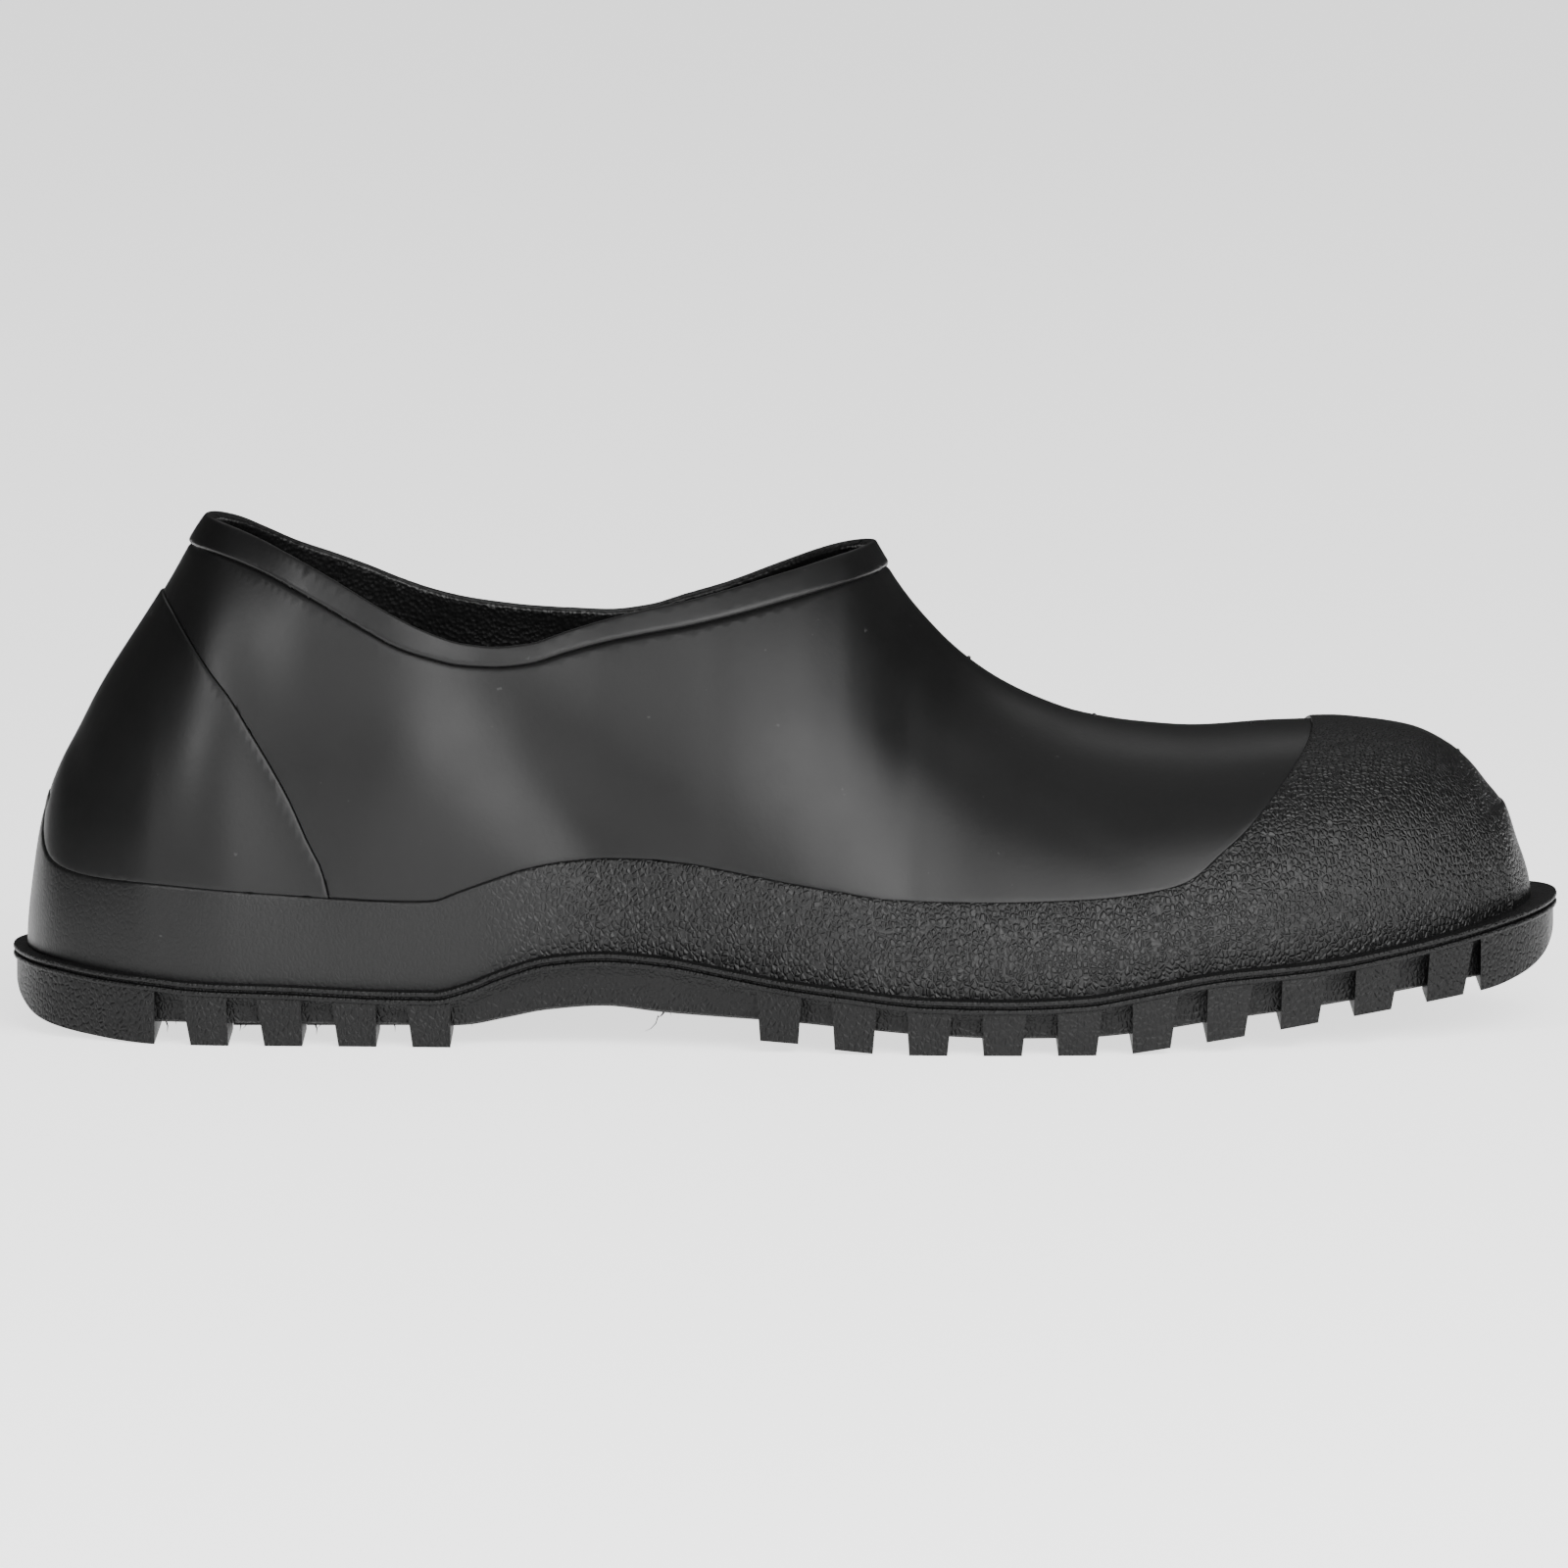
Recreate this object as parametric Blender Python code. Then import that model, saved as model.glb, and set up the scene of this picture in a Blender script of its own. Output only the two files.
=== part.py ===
# Low rubber work overshoe, right shoe, empty and standing on its sole.
# Metres, +Z up, toe towards +X, outer side of the foot towards -Y.
# Origin at the bottom centre of the bounding box.

import math

import bmesh
import bpy
import numpy as np

# Driving sizes
LENGTH = 0.322
BALL_WIDTH = 0.104
HEEL_TOP = 0.106
SEAT_HEIGHT = 0.0124
WALL = 0.0020
GAP = 0.0003

HEEL_FLANGE = 0.0036
TOE_FLANGE = 0.0067
BEAD = 0.0011
BEAD_GROOVE = 0.0005
BEAD_GROOVE_DEPTH = 0.0010
SIDE_RECESS = 0.0030
LUG_SETBACK = 0.0007

OVERLAY = 0.0010
FOXING_PROUD = 0.0007
COUNTER_PROUD = 0.00045
BAND_PROUD = 0.0007
BUMPER_PROUD = 0.0006

LUG_PITCH = 0.01525
LUG_WIDTH = 0.0078
LUG_DRAFT = math.radians(4.0)
LUG_FAN = math.radians(9.0)
HEEL_LUGS = 4
FORE_LUGS = 10
CENTRE_LUG_SPAN = 0.018
CENTRE_CHANNEL = 0.006

# Reach of the cutting forms past the shoe
FAR = 0.15
CUTTER_REACH = 0.03
SKIRT = 0.008
DEEP_SKIRT = 0.014

# Mesh density
LENGTH_STEPS = 38
ARCH_STEPS = 20
SOLE_STEPS = 48

# Tables: a row for each station along the shoe. "at" is a share of LENGTH from the back of the heel.

# Plan of the last: centre line and half width, shares of BALL_WIDTH.
PLAN = {
    "at": (0.031, 0.056, 0.096, 0.149, 0.217, 0.295, 0.373, 0.450, 0.522, 0.590, 0.658, 0.720, 0.783, 0.839,
           0.885, 0.922, 0.950, 0.969),
    "centre": (0.0, 0.0, -0.002, -0.005, -0.012, -0.028, -0.041, -0.048, -0.046, -0.032, -0.014, 0.007, 0.030,
               0.049, 0.064, 0.072, 0.077, 0.079),
    "half": (0.210, 0.279, 0.344, 0.367, 0.368, 0.366, 0.374, 0.399, 0.440, 0.474, 0.495, 0.500, 0.484, 0.448,
             0.397, 0.332, 0.255, 0.165),
}

# Top line of the closed last form: height as a share of HEEL_TOP, the section's squareness (2 is an ellipse),
# and how far its crest leans inwards, as a share of BALL_WIDTH.
CREST = {
    "at": (0.0143, 0.0193, 0.0251, 0.0323, 0.0438, 0.0562, 0.0826, 0.0998, 0.1286, 0.160, 0.198, 0.250, 0.310,
           0.385, 0.460, 0.499, 0.535, 0.5545, 0.5625, 0.575, 0.587, 0.612, 0.638, 0.664, 0.689, 0.727, 0.765,
           0.816, 0.852, 0.879, 0.904, 0.929, 0.941, 0.953, 0.962, 0.971),
    "height": (0.274, 0.377, 0.453, 0.509, 0.575, 0.647, 0.774, 0.858, 1.003, 1.085, 1.180, 1.225, 1.135, 1.075,
               1.062, 1.055, 1.018, 0.953, 0.911, 0.853, 0.807, 0.730, 0.674, 0.635, 0.608, 0.587, 0.578, 0.586,
               0.588, 0.581, 0.568, 0.532, 0.501, 0.456, 0.421, 0.343),
    "square": (2.0, 2.0, 2.0, 2.0, 2.0, 2.0, 2.0, 2.0, 2.0, 2.0, 2.05, 2.15, 2.2, 2.2, 2.0, 1.8, 1.6, 1.55, 1.55,
               1.55, 1.58, 1.65, 1.75, 1.85, 1.95, 2.05, 2.15, 2.25, 2.3, 2.3, 2.3, 2.25, 2.2, 2.2, 2.15, 2.1),
    "lean": (0.0, 0.0, 0.0, 0.0, 0.0, 0.0, 0.0, 0.0, 0.0, 0.002, 0.006, 0.012, 0.020, 0.032, 0.040, 0.042, 0.042,
             0.042, 0.041, 0.040, 0.038, 0.034, 0.028, 0.022, 0.015, 0.008, 0.0, -0.006, -0.008, -0.008, -0.008,
             -0.006, -0.004, 0.0, 0.0, 0.0),
}

# Side of the sole, shares of SEAT_HEIGHT: the flange's top edge, and the underside between the lugs.
SOLE_SIDE = {
    "at": (0.0, 0.031, 0.056, 0.093, 0.118, 0.180, 0.245, 0.275, 0.295, 0.321, 0.347, 0.385, 0.422, 0.460, 0.499,
           0.537, 0.590, 0.640, 0.689, 0.727, 0.776, 0.842, 0.904, 0.963, 1.0),
    "seat": (1.340, 1.266, 1.185, 1.113, 1.050, 1.000, 0.930, 0.925, 1.050, 1.320, 1.520, 1.605, 1.540, 1.370,
             1.195, 1.073, 0.927, 0.903, 0.950, 1.105, 1.315, 1.444, 1.677, 1.960, 2.145),
    "under": (0.9, 0.45, 0.36, 0.355, 0.355, 0.350, 0.345, 0.330, 0.350, 0.480, 0.620, 0.700, 0.610, 0.550, 0.500,
              0.420, 0.310, 0.260, 0.270, 0.350, 0.520, 0.700, 0.900, 1.060, 1.300),
}

# Floor line that the lugs reach, shares of SEAT_HEIGHT.
TREAD = {
    "at": (0.0, 0.003, 0.007, 0.018, 0.034, 0.058, 0.080, 0.100, 0.290, 0.490, 0.530, 0.560, 0.579, 0.706, 0.745,
           0.790, 0.832, 0.880, 0.926, 0.952, 0.974, 0.987, 0.996, 1.0),
    "drop": (1.000, 0.700, 0.520, 0.290, 0.170, 0.080, 0.025, 0.0, 0.0, 0.200, 0.080, 0.015, 0.0, 0.0, 0.110,
             0.260, 0.420, 0.580, 0.730, 0.810, 0.980, 1.170, 1.470, 1.900),
}

# Collar: the rim's height on the outer and inner side and the band's height, shares of HEEL_TOP.
COLLAR = {
    "at": (0.0, 0.127, 0.144, 0.161, 0.182, 0.207, 0.230, 0.248, 0.270, 0.292, 0.314, 0.335, 0.360, 0.385, 0.410,
           0.435, 0.463, 0.499, 0.531, 0.556, 0.578, 0.714, 1.0),
    "outer": (1.030, 1.000, 0.989, 0.972, 0.942, 0.902, 0.862, 0.831, 0.799, 0.777, 0.770, 0.776, 0.800, 0.822,
              0.840, 0.855, 0.876, 0.906, 0.932, 0.948, 0.960, 0.975, 0.975),
    "inner": (1.030, 1.000, 0.983, 0.957, 0.926, 0.898, 0.871, 0.848, 0.825, 0.809, 0.799, 0.792, 0.788, 0.785,
              0.794, 0.817, 0.843, 0.886, 0.925, 0.947, 0.960, 0.975, 0.975),
    "band": (0.059, 0.059, 0.060, 0.061, 0.061, 0.061, 0.060, 0.058, 0.049, 0.042, 0.038, 0.038, 0.040, 0.042,
             0.045, 0.047, 0.050, 0.053, 0.055, 0.055, 0.052, 0.040, 0.040),
}

# Upper edge of the rand, seen from the side: up the heel tab, along the sides, up behind the toe cap.
FOXING_EDGE = {
    "at": (-0.09, 0.0, 0.0225, 0.0262, 0.0255, 0.0227, 0.0222, 0.0238, 0.0285, 0.0395, 0.056, 0.093, 0.169,
           0.258, 0.274, 0.290, 0.309,
           0.334, 0.359, 0.385, 0.410, 0.435, 0.461, 0.499, 0.537, 0.565, 0.625, 0.689, 0.740, 0.757, 0.777,
           0.793, 0.809, 0.822, 0.829, 0.838, 0.8415, 0.845),
    "height": (0.468, 0.468, 0.466, 0.458, 0.442, 0.418, 0.387, 0.359, 0.337, 0.322, 0.314, 0.309, 0.293,
               0.280, 0.281, 0.298, 0.319,
               0.345, 0.360, 0.366, 0.365, 0.359, 0.346, 0.325, 0.306, 0.293, 0.287, 0.292, 0.310, 0.326, 0.374,
               0.414, 0.466, 0.511, 0.538, 0.577, 0.600, 0.640),
}

# Front edge of the heel counter, from the band down into the rand.
COUNTER_EDGE = {
    "at": (0.088, 0.098, 0.1056, 0.1186, 0.131, 0.1438, 0.1565, 0.1693, 0.182, 0.1947, 0.2028, 0.209),
    "height": (0.900, 0.852, 0.825, 0.769, 0.716, 0.668, 0.607, 0.544, 0.475, 0.390, 0.342, 0.270),
}

# Toe bumper, the smooth pad in the middle of the toe: its edge from the top down.
BUMPER_EDGE = {
    "at": (0.990, 0.956, 0.951, 0.950, 0.953, 0.958, 0.962, 0.965),
    "height": (0.430, 0.420, 0.412, 0.395, 0.360, 0.325, 0.290, 0.180),
}

# Blocks of the sole that are longer than a lug, as spans of LENGTH.
HEEL_BLOCK_END = 0.096
TOE_BLOCK_START = 0.9455
FIRST_HEEL_LUG = 0.1315
FIRST_FORE_LUG = 0.4955

POLE = 0.035


def monotone_curve(at, values):
    """A smooth function through the points that never overshoots them."""
    at = np.asarray(at, float)
    values = np.asarray(values, float)
    gaps = np.diff(at)
    slopes = np.diff(values) / gaps
    tangents = np.zeros(len(at))
    tangents[0] = slopes[0]
    tangents[-1] = slopes[-1]
    for i in range(1, len(at) - 1):
        before, after = slopes[i - 1], slopes[i]
        if before * after > 0:
            weight_before = 2 * gaps[i] + gaps[i - 1]
            weight_after = gaps[i] + 2 * gaps[i - 1]
            tangents[i] = (weight_before + weight_after) / (weight_before / before + weight_after / after)

    def value(x):
        x = np.clip(x, at[0], at[-1])
        i = np.clip(np.searchsorted(at, x, side="right") - 1, 0, len(gaps) - 1)
        t = (x - at[i]) / gaps[i]
        h00 = (1 + 2 * t) * (1 - t) ** 2
        h10 = t * (1 - t) ** 2
        h01 = t * t * (3 - 2 * t)
        h11 = t * t * (t - 1)
        rise = h10 * gaps[i] * tangents[i] + h11 * gaps[i] * tangents[i + 1]
        return h00 * values[i] + h01 * values[i + 1] + rise

    return value


def column(table, name, unit):
    """A table's column as a function of the distance from the back of the heel."""
    share = monotone_curve(table["at"], table[name])
    return lambda x: share(np.asarray(x, float) / LENGTH) * unit


seat_at = column(SOLE_SIDE, "seat", SEAT_HEIGHT)
under_at = column(SOLE_SIDE, "under", SEAT_HEIGHT)
tread_at = column(TREAD, "drop", SEAT_HEIGHT)
outer_rim_at = column(COLLAR, "outer", HEEL_TOP)
inner_rim_at = column(COLLAR, "inner", HEEL_TOP)
band_at = column(COLLAR, "band", HEEL_TOP)

LAST_START = HEEL_FLANGE
LAST_END = LENGTH - TOE_FLANGE


def length_at(turn):
    """Distance along the last for a turn of 0 at the heel to pi at the toe, close-set at both ends."""
    return LAST_START + (LAST_END - LAST_START) * (1 - np.cos(turn)) / 2


def turn_of(share):
    along = np.clip((np.asarray(share) * LENGTH - LAST_START) / (LAST_END - LAST_START), 0, 1)
    return np.arccos(1 - 2 * along)


def round_ended(table, name, unit, start, end):
    """A column that closes to the given end values with round ends, as a function of the turn."""
    turns = turn_of(table["at"])
    values = np.asarray(table[name]) * unit
    return monotone_curve(np.r_[0.0, turns, math.pi], np.r_[start, values, end])


plan_centre = round_ended(PLAN, "centre", BALL_WIDTH, 0.0, PLAN["centre"][-1] * BALL_WIDTH)
plan_half = round_ended(PLAN, "half", BALL_WIDTH, 0.0, 0.0)
crest_height = round_ended(CREST, "height", HEEL_TOP, float(seat_at(LAST_START)), float(seat_at(LAST_END)))
crest_square = round_ended(CREST, "square", 1.0, CREST["square"][0], CREST["square"][-1])
crest_lean = round_ended(CREST, "lean", BALL_WIDTH, 0.0, 0.0)


def last_grid(offset, drop):
    """Points of the last's outer surface, moved out by offset, with a skirt that reaches drop below the seat."""
    turns = np.linspace(POLE, math.pi - POLE, LENGTH_STEPS + 1)
    angles = np.linspace(0, math.pi, ARCH_STEPS + 1)
    grid = np.zeros((len(turns), len(angles) + 2, 3))
    for i, turn in enumerate(turns):
        x = float(length_at(turn))
        power = 2 / float(crest_square(turn))
        rise = np.abs(np.sin(angles)) ** power
        side = np.sign(np.cos(angles)) * np.abs(np.cos(angles)) ** power
        seat = float(seat_at(x))
        grid[i, 1:-1, 0] = x
        grid[i, 1:-1, 1] = plan_centre(turn) + crest_lean(turn) * rise ** 2 - plan_half(turn) * side
        grid[i, 1:-1, 2] = seat + (crest_height(turn) - seat) * rise
        grid[i, 0] = grid[i, 1] - (0, 0, drop)
        grid[i, -1] = grid[i, -2] - (0, 0, drop)
    along = np.gradient(grid, axis=0)
    around = np.gradient(grid, axis=1)
    normals = np.cross(along, around)
    normals[:, 0] = normals[:, 1] * (1, 1, 0)
    normals[:, -1] = normals[:, -2] * (1, 1, 0)
    normals /= np.linalg.norm(normals, axis=2, keepdims=True)
    return grid + offset * normals


SOLE_TURNS = np.linspace(POLE, math.pi - POLE, SOLE_STEPS + 1)


def outline(inset):
    """Lateral and medial edge of the sole in plan, drawn in from the flange's edge by inset."""
    x = length_at(SOLE_TURNS)
    turns = SOLE_TURNS
    flange = HEEL_FLANGE + (TOE_FLANGE - HEEL_FLANGE) * (x / LENGTH) - inset
    sides = []
    for sign in (-1, 1):
        y = plan_centre(turns) + sign * plan_half(turns)
        tangent = np.stack([np.gradient(x), np.gradient(y)], axis=1)
        normal = np.stack([-sign * tangent[:, 1], sign * tangent[:, 0]], axis=1)
        normal /= np.linalg.norm(normal, axis=1, keepdims=True)
        sides.append(np.stack([x, y], axis=1) + normal * flange[:, None])
    return sides


EDGES = outline(0.0)
MIDDLE = np.array([
    (EDGES[0][:, 0].min() + EDGES[0][:, 0].max()) / 2,
    (EDGES[0][:, 1].min() + EDGES[1][:, 1].max()) / 2,
    0.0,
])


def clear_scene():
    for obj in list(bpy.data.objects):
        bpy.data.objects.remove(obj, do_unlink=True)


def collection(name):
    made = bpy.data.collections.new(name)
    bpy.context.scene.collection.children.link(made)
    return made


def mesh_object(name, points, faces, home, smooth=False):
    mesh = bpy.data.meshes.new(name)
    mesh.from_pydata([tuple(p - MIDDLE) for p in np.asarray(points, float)], [], faces)
    shell = bmesh.new()
    shell.from_mesh(mesh)
    bmesh.ops.recalc_face_normals(shell, faces=shell.faces)
    shell.to_mesh(mesh)
    shell.free()
    if smooth:
        mesh.shade_smooth()
    obj = bpy.data.objects.new(name, mesh)
    home.objects.link(obj)
    return obj


def loft(name, sections, home, smooth=False):
    """A closed solid through sections that have as many points each, with flat ends."""
    count = len(sections[0])
    faces = [tuple(reversed(range(count)))]
    for i in range(len(sections) - 1):
        for j in range(count):
            k = (j + 1) % count
            faces.append((i * count + j, i * count + k, (i + 1) * count + k, (i + 1) * count + j))
    last = (len(sections) - 1) * count
    faces.append(tuple(range(last, last + count)))
    return mesh_object(name, np.concatenate(sections), faces, home, smooth)


def helper(obj):
    obj.hide_render = True
    obj.display_type = "WIRE"
    return obj


def last_form(name, offset, drop, home):
    return loft(name, list(last_grid(offset, drop)), home, smooth=True)


def slab(name, inset, top, bottom, home):
    """A layer of the sole: its plan drawn in by inset, between two heights that follow the length."""
    sections = []
    for near, far in zip(*outline(inset)):
        sections.append(np.array([
            (near[0], near[1], bottom(near[0])),
            (near[0], near[1], top(near[0])),
            (far[0], far[1], top(far[0])),
            (far[0], far[1], bottom(far[0])),
        ]))
    return loft(name, sections, home)


def side_block(name, line, home, near=-FAR, far=FAR):
    """An outline seen from the side, given clockwise from the toe end, drawn through across the shoe."""
    sections = [np.array([(x, y, z) for x, z in line]) for y in (near, far)]
    return loft(name, sections, home)


def height_block(name, outer, inner, floor, home):
    """A block between a level and a surface whose height differs on the two sides of the shoe."""
    across = np.array([-1.0, -0.24, 0.24, 1.0]) * BALL_WIDTH
    sections = []
    for x in np.r_[-0.1 * LENGTH, 0.0, length_at(SOLE_TURNS), LENGTH, 1.1 * LENGTH]:
        line = [(x, across[0], outer(x)), (x, across[1], outer(x)), (x, across[2], inner(x)),
                (x, across[3], inner(x)), (x, across[3], floor), (x, across[0], floor)]
        sections.append(np.array(line))
    return loft(name, sections, home)


def change(obj, operation, tool):
    step = obj.modifiers.new(operation.lower() + "_" + tool.name, "BOOLEAN")
    step.operation = operation
    step.object = tool
    step.solver = "EXACT"


def cut(obj, *tools):
    for tool in tools:
        change(obj, "DIFFERENCE", tool)


def edge_line(table, steps):
    """A panel's edge as smooth points seen from the side."""
    x = np.asarray(table["at"]) * LENGTH
    z = np.asarray(table["height"]) * HEEL_TOP
    run = np.r_[0.0, np.cumsum(np.hypot(np.diff(x), np.diff(z)))]
    at = np.linspace(0, run[-1], steps)
    return np.stack([monotone_curve(run, x)(at), monotone_curve(run, z)(at)], axis=1)


def moved_line(line, distance):
    """The line moved to its right hand by distance."""
    tangent = np.gradient(line, axis=0)
    normal = np.stack([tangent[:, 1], -tangent[:, 0]], axis=1)
    return line + distance * normal / np.linalg.norm(normal, axis=1, keepdims=True)


def rubber(name, shade, roughness):
    material = bpy.data.materials.new(name)
    material.use_nodes = True
    shader = material.node_tree.nodes["Principled BSDF"]
    shader.inputs["Base Color"].default_value = (shade, shade, shade * 1.04, 1.0)
    shader.inputs["Roughness"].default_value = roughness
    shader.inputs["Metallic"].default_value = 0.0
    return material


def finish(obj, material):
    obj.data.materials.append(material)
    return obj


def foxing_outline(distance):
    """The side view's outline of the rand and toe cap, its edge moved down by distance."""
    line = moved_line(edge_line(FOXING_EDGE, 56), distance)
    toe = LENGTH + CUTTER_REACH
    return [(line[0][0], -CUTTER_REACH), *map(tuple, line), (toe, line[-1][1]), (toe, -CUTTER_REACH)]


def counter_outline(distance, bottom):
    """The side view's outline of the heel counter, its front edge moved back by distance."""
    line = moved_line(edge_line(COUNTER_EDGE, 18), distance)
    top = HEEL_TOP + CUTTER_REACH
    return [(-CUTTER_REACH, bottom), (-CUTTER_REACH, top), (line[0][0], top), *map(tuple, line),
            (line[-1][0], bottom)]


def bumper_outline():
    line = edge_line(BUMPER_EDGE, 14)
    toe = LENGTH + CUTTER_REACH
    return [(toe, line[-1][1]), *map(tuple, line[::-1]), (toe, line[0][1])]


def lug_outline(centre, width):
    """A lug seen from the side, its faces drafted, leaning back at the heel and forward at the toe."""
    fan = LUG_FAN * (2 * centre / LENGTH - 1)
    line = []
    for x, side in ((centre - width / 2, -1), (centre + width / 2, 1)):
        z = float(tread_at(x))
        top = float(seat_at(x)) - 2 * BEAD - BEAD_GROOVE / 2
        shift = (top - z) * math.tan(side * LUG_DRAFT + fan)
        line.append(((x, z), (x + shift, top)))
    (heel_low, heel_top), (toe_low, toe_top) = line
    return [heel_low, heel_top, toe_top, toe_low]


def end_block_outline(start, end, steps):
    """A block at the end of the sole, which follows the tread line."""
    x = np.linspace(start, end, steps)
    low = [(float(v), float(tread_at(v))) for v in x]
    top = [(float(v), float(seat_at(v)) - 2 * BEAD - BEAD_GROOVE / 2) for v in x]
    return low + top[::-1]


def make_lugs(cutters):
    """All lugs as one object: side bars to both edges, a row of short lugs between them, and the end blocks."""
    blocks = []
    reach = CENTRE_LUG_SPAN / 2 + CENTRE_CHANNEL
    rows = [(FIRST_HEEL_LUG, HEEL_LUGS), (FIRST_FORE_LUG, FORE_LUGS)]
    for first, count in rows:
        for k in range(count):
            centre = first * LENGTH + k * LUG_PITCH
            line = lug_outline(centre, LUG_WIDTH)
            blocks.append((line, -FAR, -reach))
            blocks.append((line, reach, FAR))
            if k < count - 1:
                between = lug_outline(centre + LUG_PITCH / 2, LUG_WIDTH)
                blocks.append((between, -CENTRE_LUG_SPAN / 2, CENTRE_LUG_SPAN / 2))
    blocks.append((end_block_outline(0.0, HEEL_BLOCK_END * LENGTH, 12), -FAR, FAR))
    blocks.append((end_block_outline(TOE_BLOCK_START * LENGTH, LENGTH, 12), -FAR, FAR))
    points = []
    faces = []
    for line, near, far in blocks:
        base = len(points)
        count = len(line)
        points += [(x, near, z) for x, z in line] + [(x, far, z) for x, z in line]
        faces.append(tuple(base + j for j in range(count)))
        faces.append(tuple(base + count + j for j in reversed(range(count))))
        for j in range(count):
            k = (j + 1) % count
            faces.append((base + k, base + j, base + count + j, base + count + k))
    lugs = mesh_object("lug_blocks", points, faces, cutters)
    limit = slab("lug_limit", LUG_SETBACK, seat_at, lambda x: -CUTTER_REACH, cutters)
    change(lugs, "INTERSECT", helper(limit))
    return helper(lugs)


def make_outsole(home, cutters):
    """Core, flange with its two beads, and lugs, joined into one solid."""
    two_beads = 2 * BEAD + BEAD_GROOVE
    sole = slab("outsole", SIDE_RECESS, lambda x: seat_at(x) - BEAD / 2, under_at, home)
    layers = (
        ("bead_core", BEAD_GROOVE_DEPTH, lambda x: seat_at(x) - BEAD / 3, lambda x: seat_at(x) - two_beads * 0.8),
        ("upper_bead", 0.0, seat_at, lambda x: seat_at(x) - BEAD),
        ("lower_bead", 0.0, lambda x: seat_at(x) - BEAD - BEAD_GROOVE, lambda x: seat_at(x) - two_beads),
    )
    for name, inset, top, bottom in layers:
        change(sole, "UNION", helper(slab(name, inset, top, bottom, cutters)))
    change(sole, "UNION", make_lugs(cutters))
    return finish(sole, rubber("outsole_rubber", 0.012, 0.55))


def make_tools(cutters):
    """The larger forms and side outlines that the upper's pieces are cut between."""
    recess = OVERLAY - FOXING_PROUD + GAP
    tools = {
        "inside": last_form("inside_form", -WALL, DEEP_SKIRT, cutters),
        "under_overlay": last_form("under_overlay_form", -recess, DEEP_SKIRT, cutters),
        "overlay_back": last_form("overlay_back_form", FOXING_PROUD - OVERLAY, DEEP_SKIRT, cutters),
        "bumper": last_form("bumper_form", FOXING_PROUD + BUMPER_PROUD, SKIRT, cutters),
        "below_seat": height_block("below_seat", lambda x: float(seat_at(x)) + GAP,
                                   lambda x: float(seat_at(x)) + GAP, -CUTTER_REACH, cutters),
        "above_rim": height_block("above_rim", lambda x: float(outer_rim_at(x)),
                                  lambda x: float(inner_rim_at(x)), HEEL_TOP * 2, cutters),
        "above_band_edge": height_block("above_band_edge", lambda x: float(outer_rim_at(x) - band_at(x)) - GAP,
                                        lambda x: float(inner_rim_at(x) - band_at(x)) - GAP, HEEL_TOP * 2,
                                        cutters),
        "below_band": height_block("below_band", lambda x: float(outer_rim_at(x) - band_at(x)),
                                   lambda x: float(inner_rim_at(x) - band_at(x)), -CUTTER_REACH,
                                   cutters),
        "overlay_zone": side_block("overlay_zone", foxing_outline(0.0), cutters),
        "foxing_cut": side_block("foxing_cut", foxing_outline(GAP), cutters),
        "counter_zone": side_block("counter_zone", counter_outline(0.0, SEAT_HEIGHT), cutters, -FAR / 2, FAR / 2),
        "counter_cut": side_block("counter_cut", counter_outline(GAP, 0.0), cutters),
        "foxing_keep": side_block("foxing_keep", foxing_outline(0.0), cutters),
        "bumper_zone": side_block("bumper_zone", bumper_outline(), cutters),
    }
    change(tools["overlay_zone"], "UNION", tools["counter_zone"])
    cut(tools["overlay_zone"], tools["under_overlay"])
    change(tools["bumper"], "INTERSECT", tools["bumper_zone"])
    for tool in tools.values():
        helper(tool)
    return tools


def make_upper(home, tools):
    """The moulded wall, hollow, with the beds that the rand and the counter lie in."""
    upper = last_form("upper", 0.0, SKIRT, home)
    cut(upper, tools["inside"], tools["overlay_zone"], tools["below_seat"], tools["above_band_edge"])
    return finish(upper, rubber("upper_rubber", 0.014, 0.42))


def make_foxing(home, tools):
    """The raised rand with heel tab, toe cap and toe bumper."""
    foxing = last_form("foxing_toe_cap", FOXING_PROUD, SKIRT, home)
    change(foxing, "UNION", tools["bumper"])
    cut(foxing, tools["overlay_back"])
    change(foxing, "INTERSECT", tools["foxing_cut"])
    cut(foxing, tools["below_seat"])
    return finish(foxing, rubber("foxing_rubber", 0.016, 0.60))


def make_counter(home, tools):
    """The heel counter, between the rand and the collar band."""
    counter = last_form("heel_counter", COUNTER_PROUD, SKIRT, home)
    cut(counter, tools["overlay_back"])
    change(counter, "INTERSECT", tools["counter_cut"])
    cut(counter, tools["foxing_keep"], tools["above_band_edge"])
    return finish(counter, rubber("counter_rubber", 0.014, 0.42))


def make_collar_band(home, tools):
    """The rim round the opening, proud of the wall below it."""
    band = last_form("collar_band", BAND_PROUD, SKIRT, home)
    cut(band, tools["inside"], tools["above_rim"], tools["below_band"])
    return finish(band, rubber("collar_rubber", 0.014, 0.38))


def main():
    clear_scene()
    parts = collection("rubber_overshoe")
    cutters = collection("cutters")
    make_outsole(parts, cutters)
    tools = make_tools(cutters)
    make_upper(parts, tools)
    make_foxing(parts, tools)
    make_counter(parts, tools)
    make_collar_band(parts, tools)


main()
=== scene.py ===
# Looks of the low rubber work overshoe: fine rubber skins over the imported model, lights and camera.

import math

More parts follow.
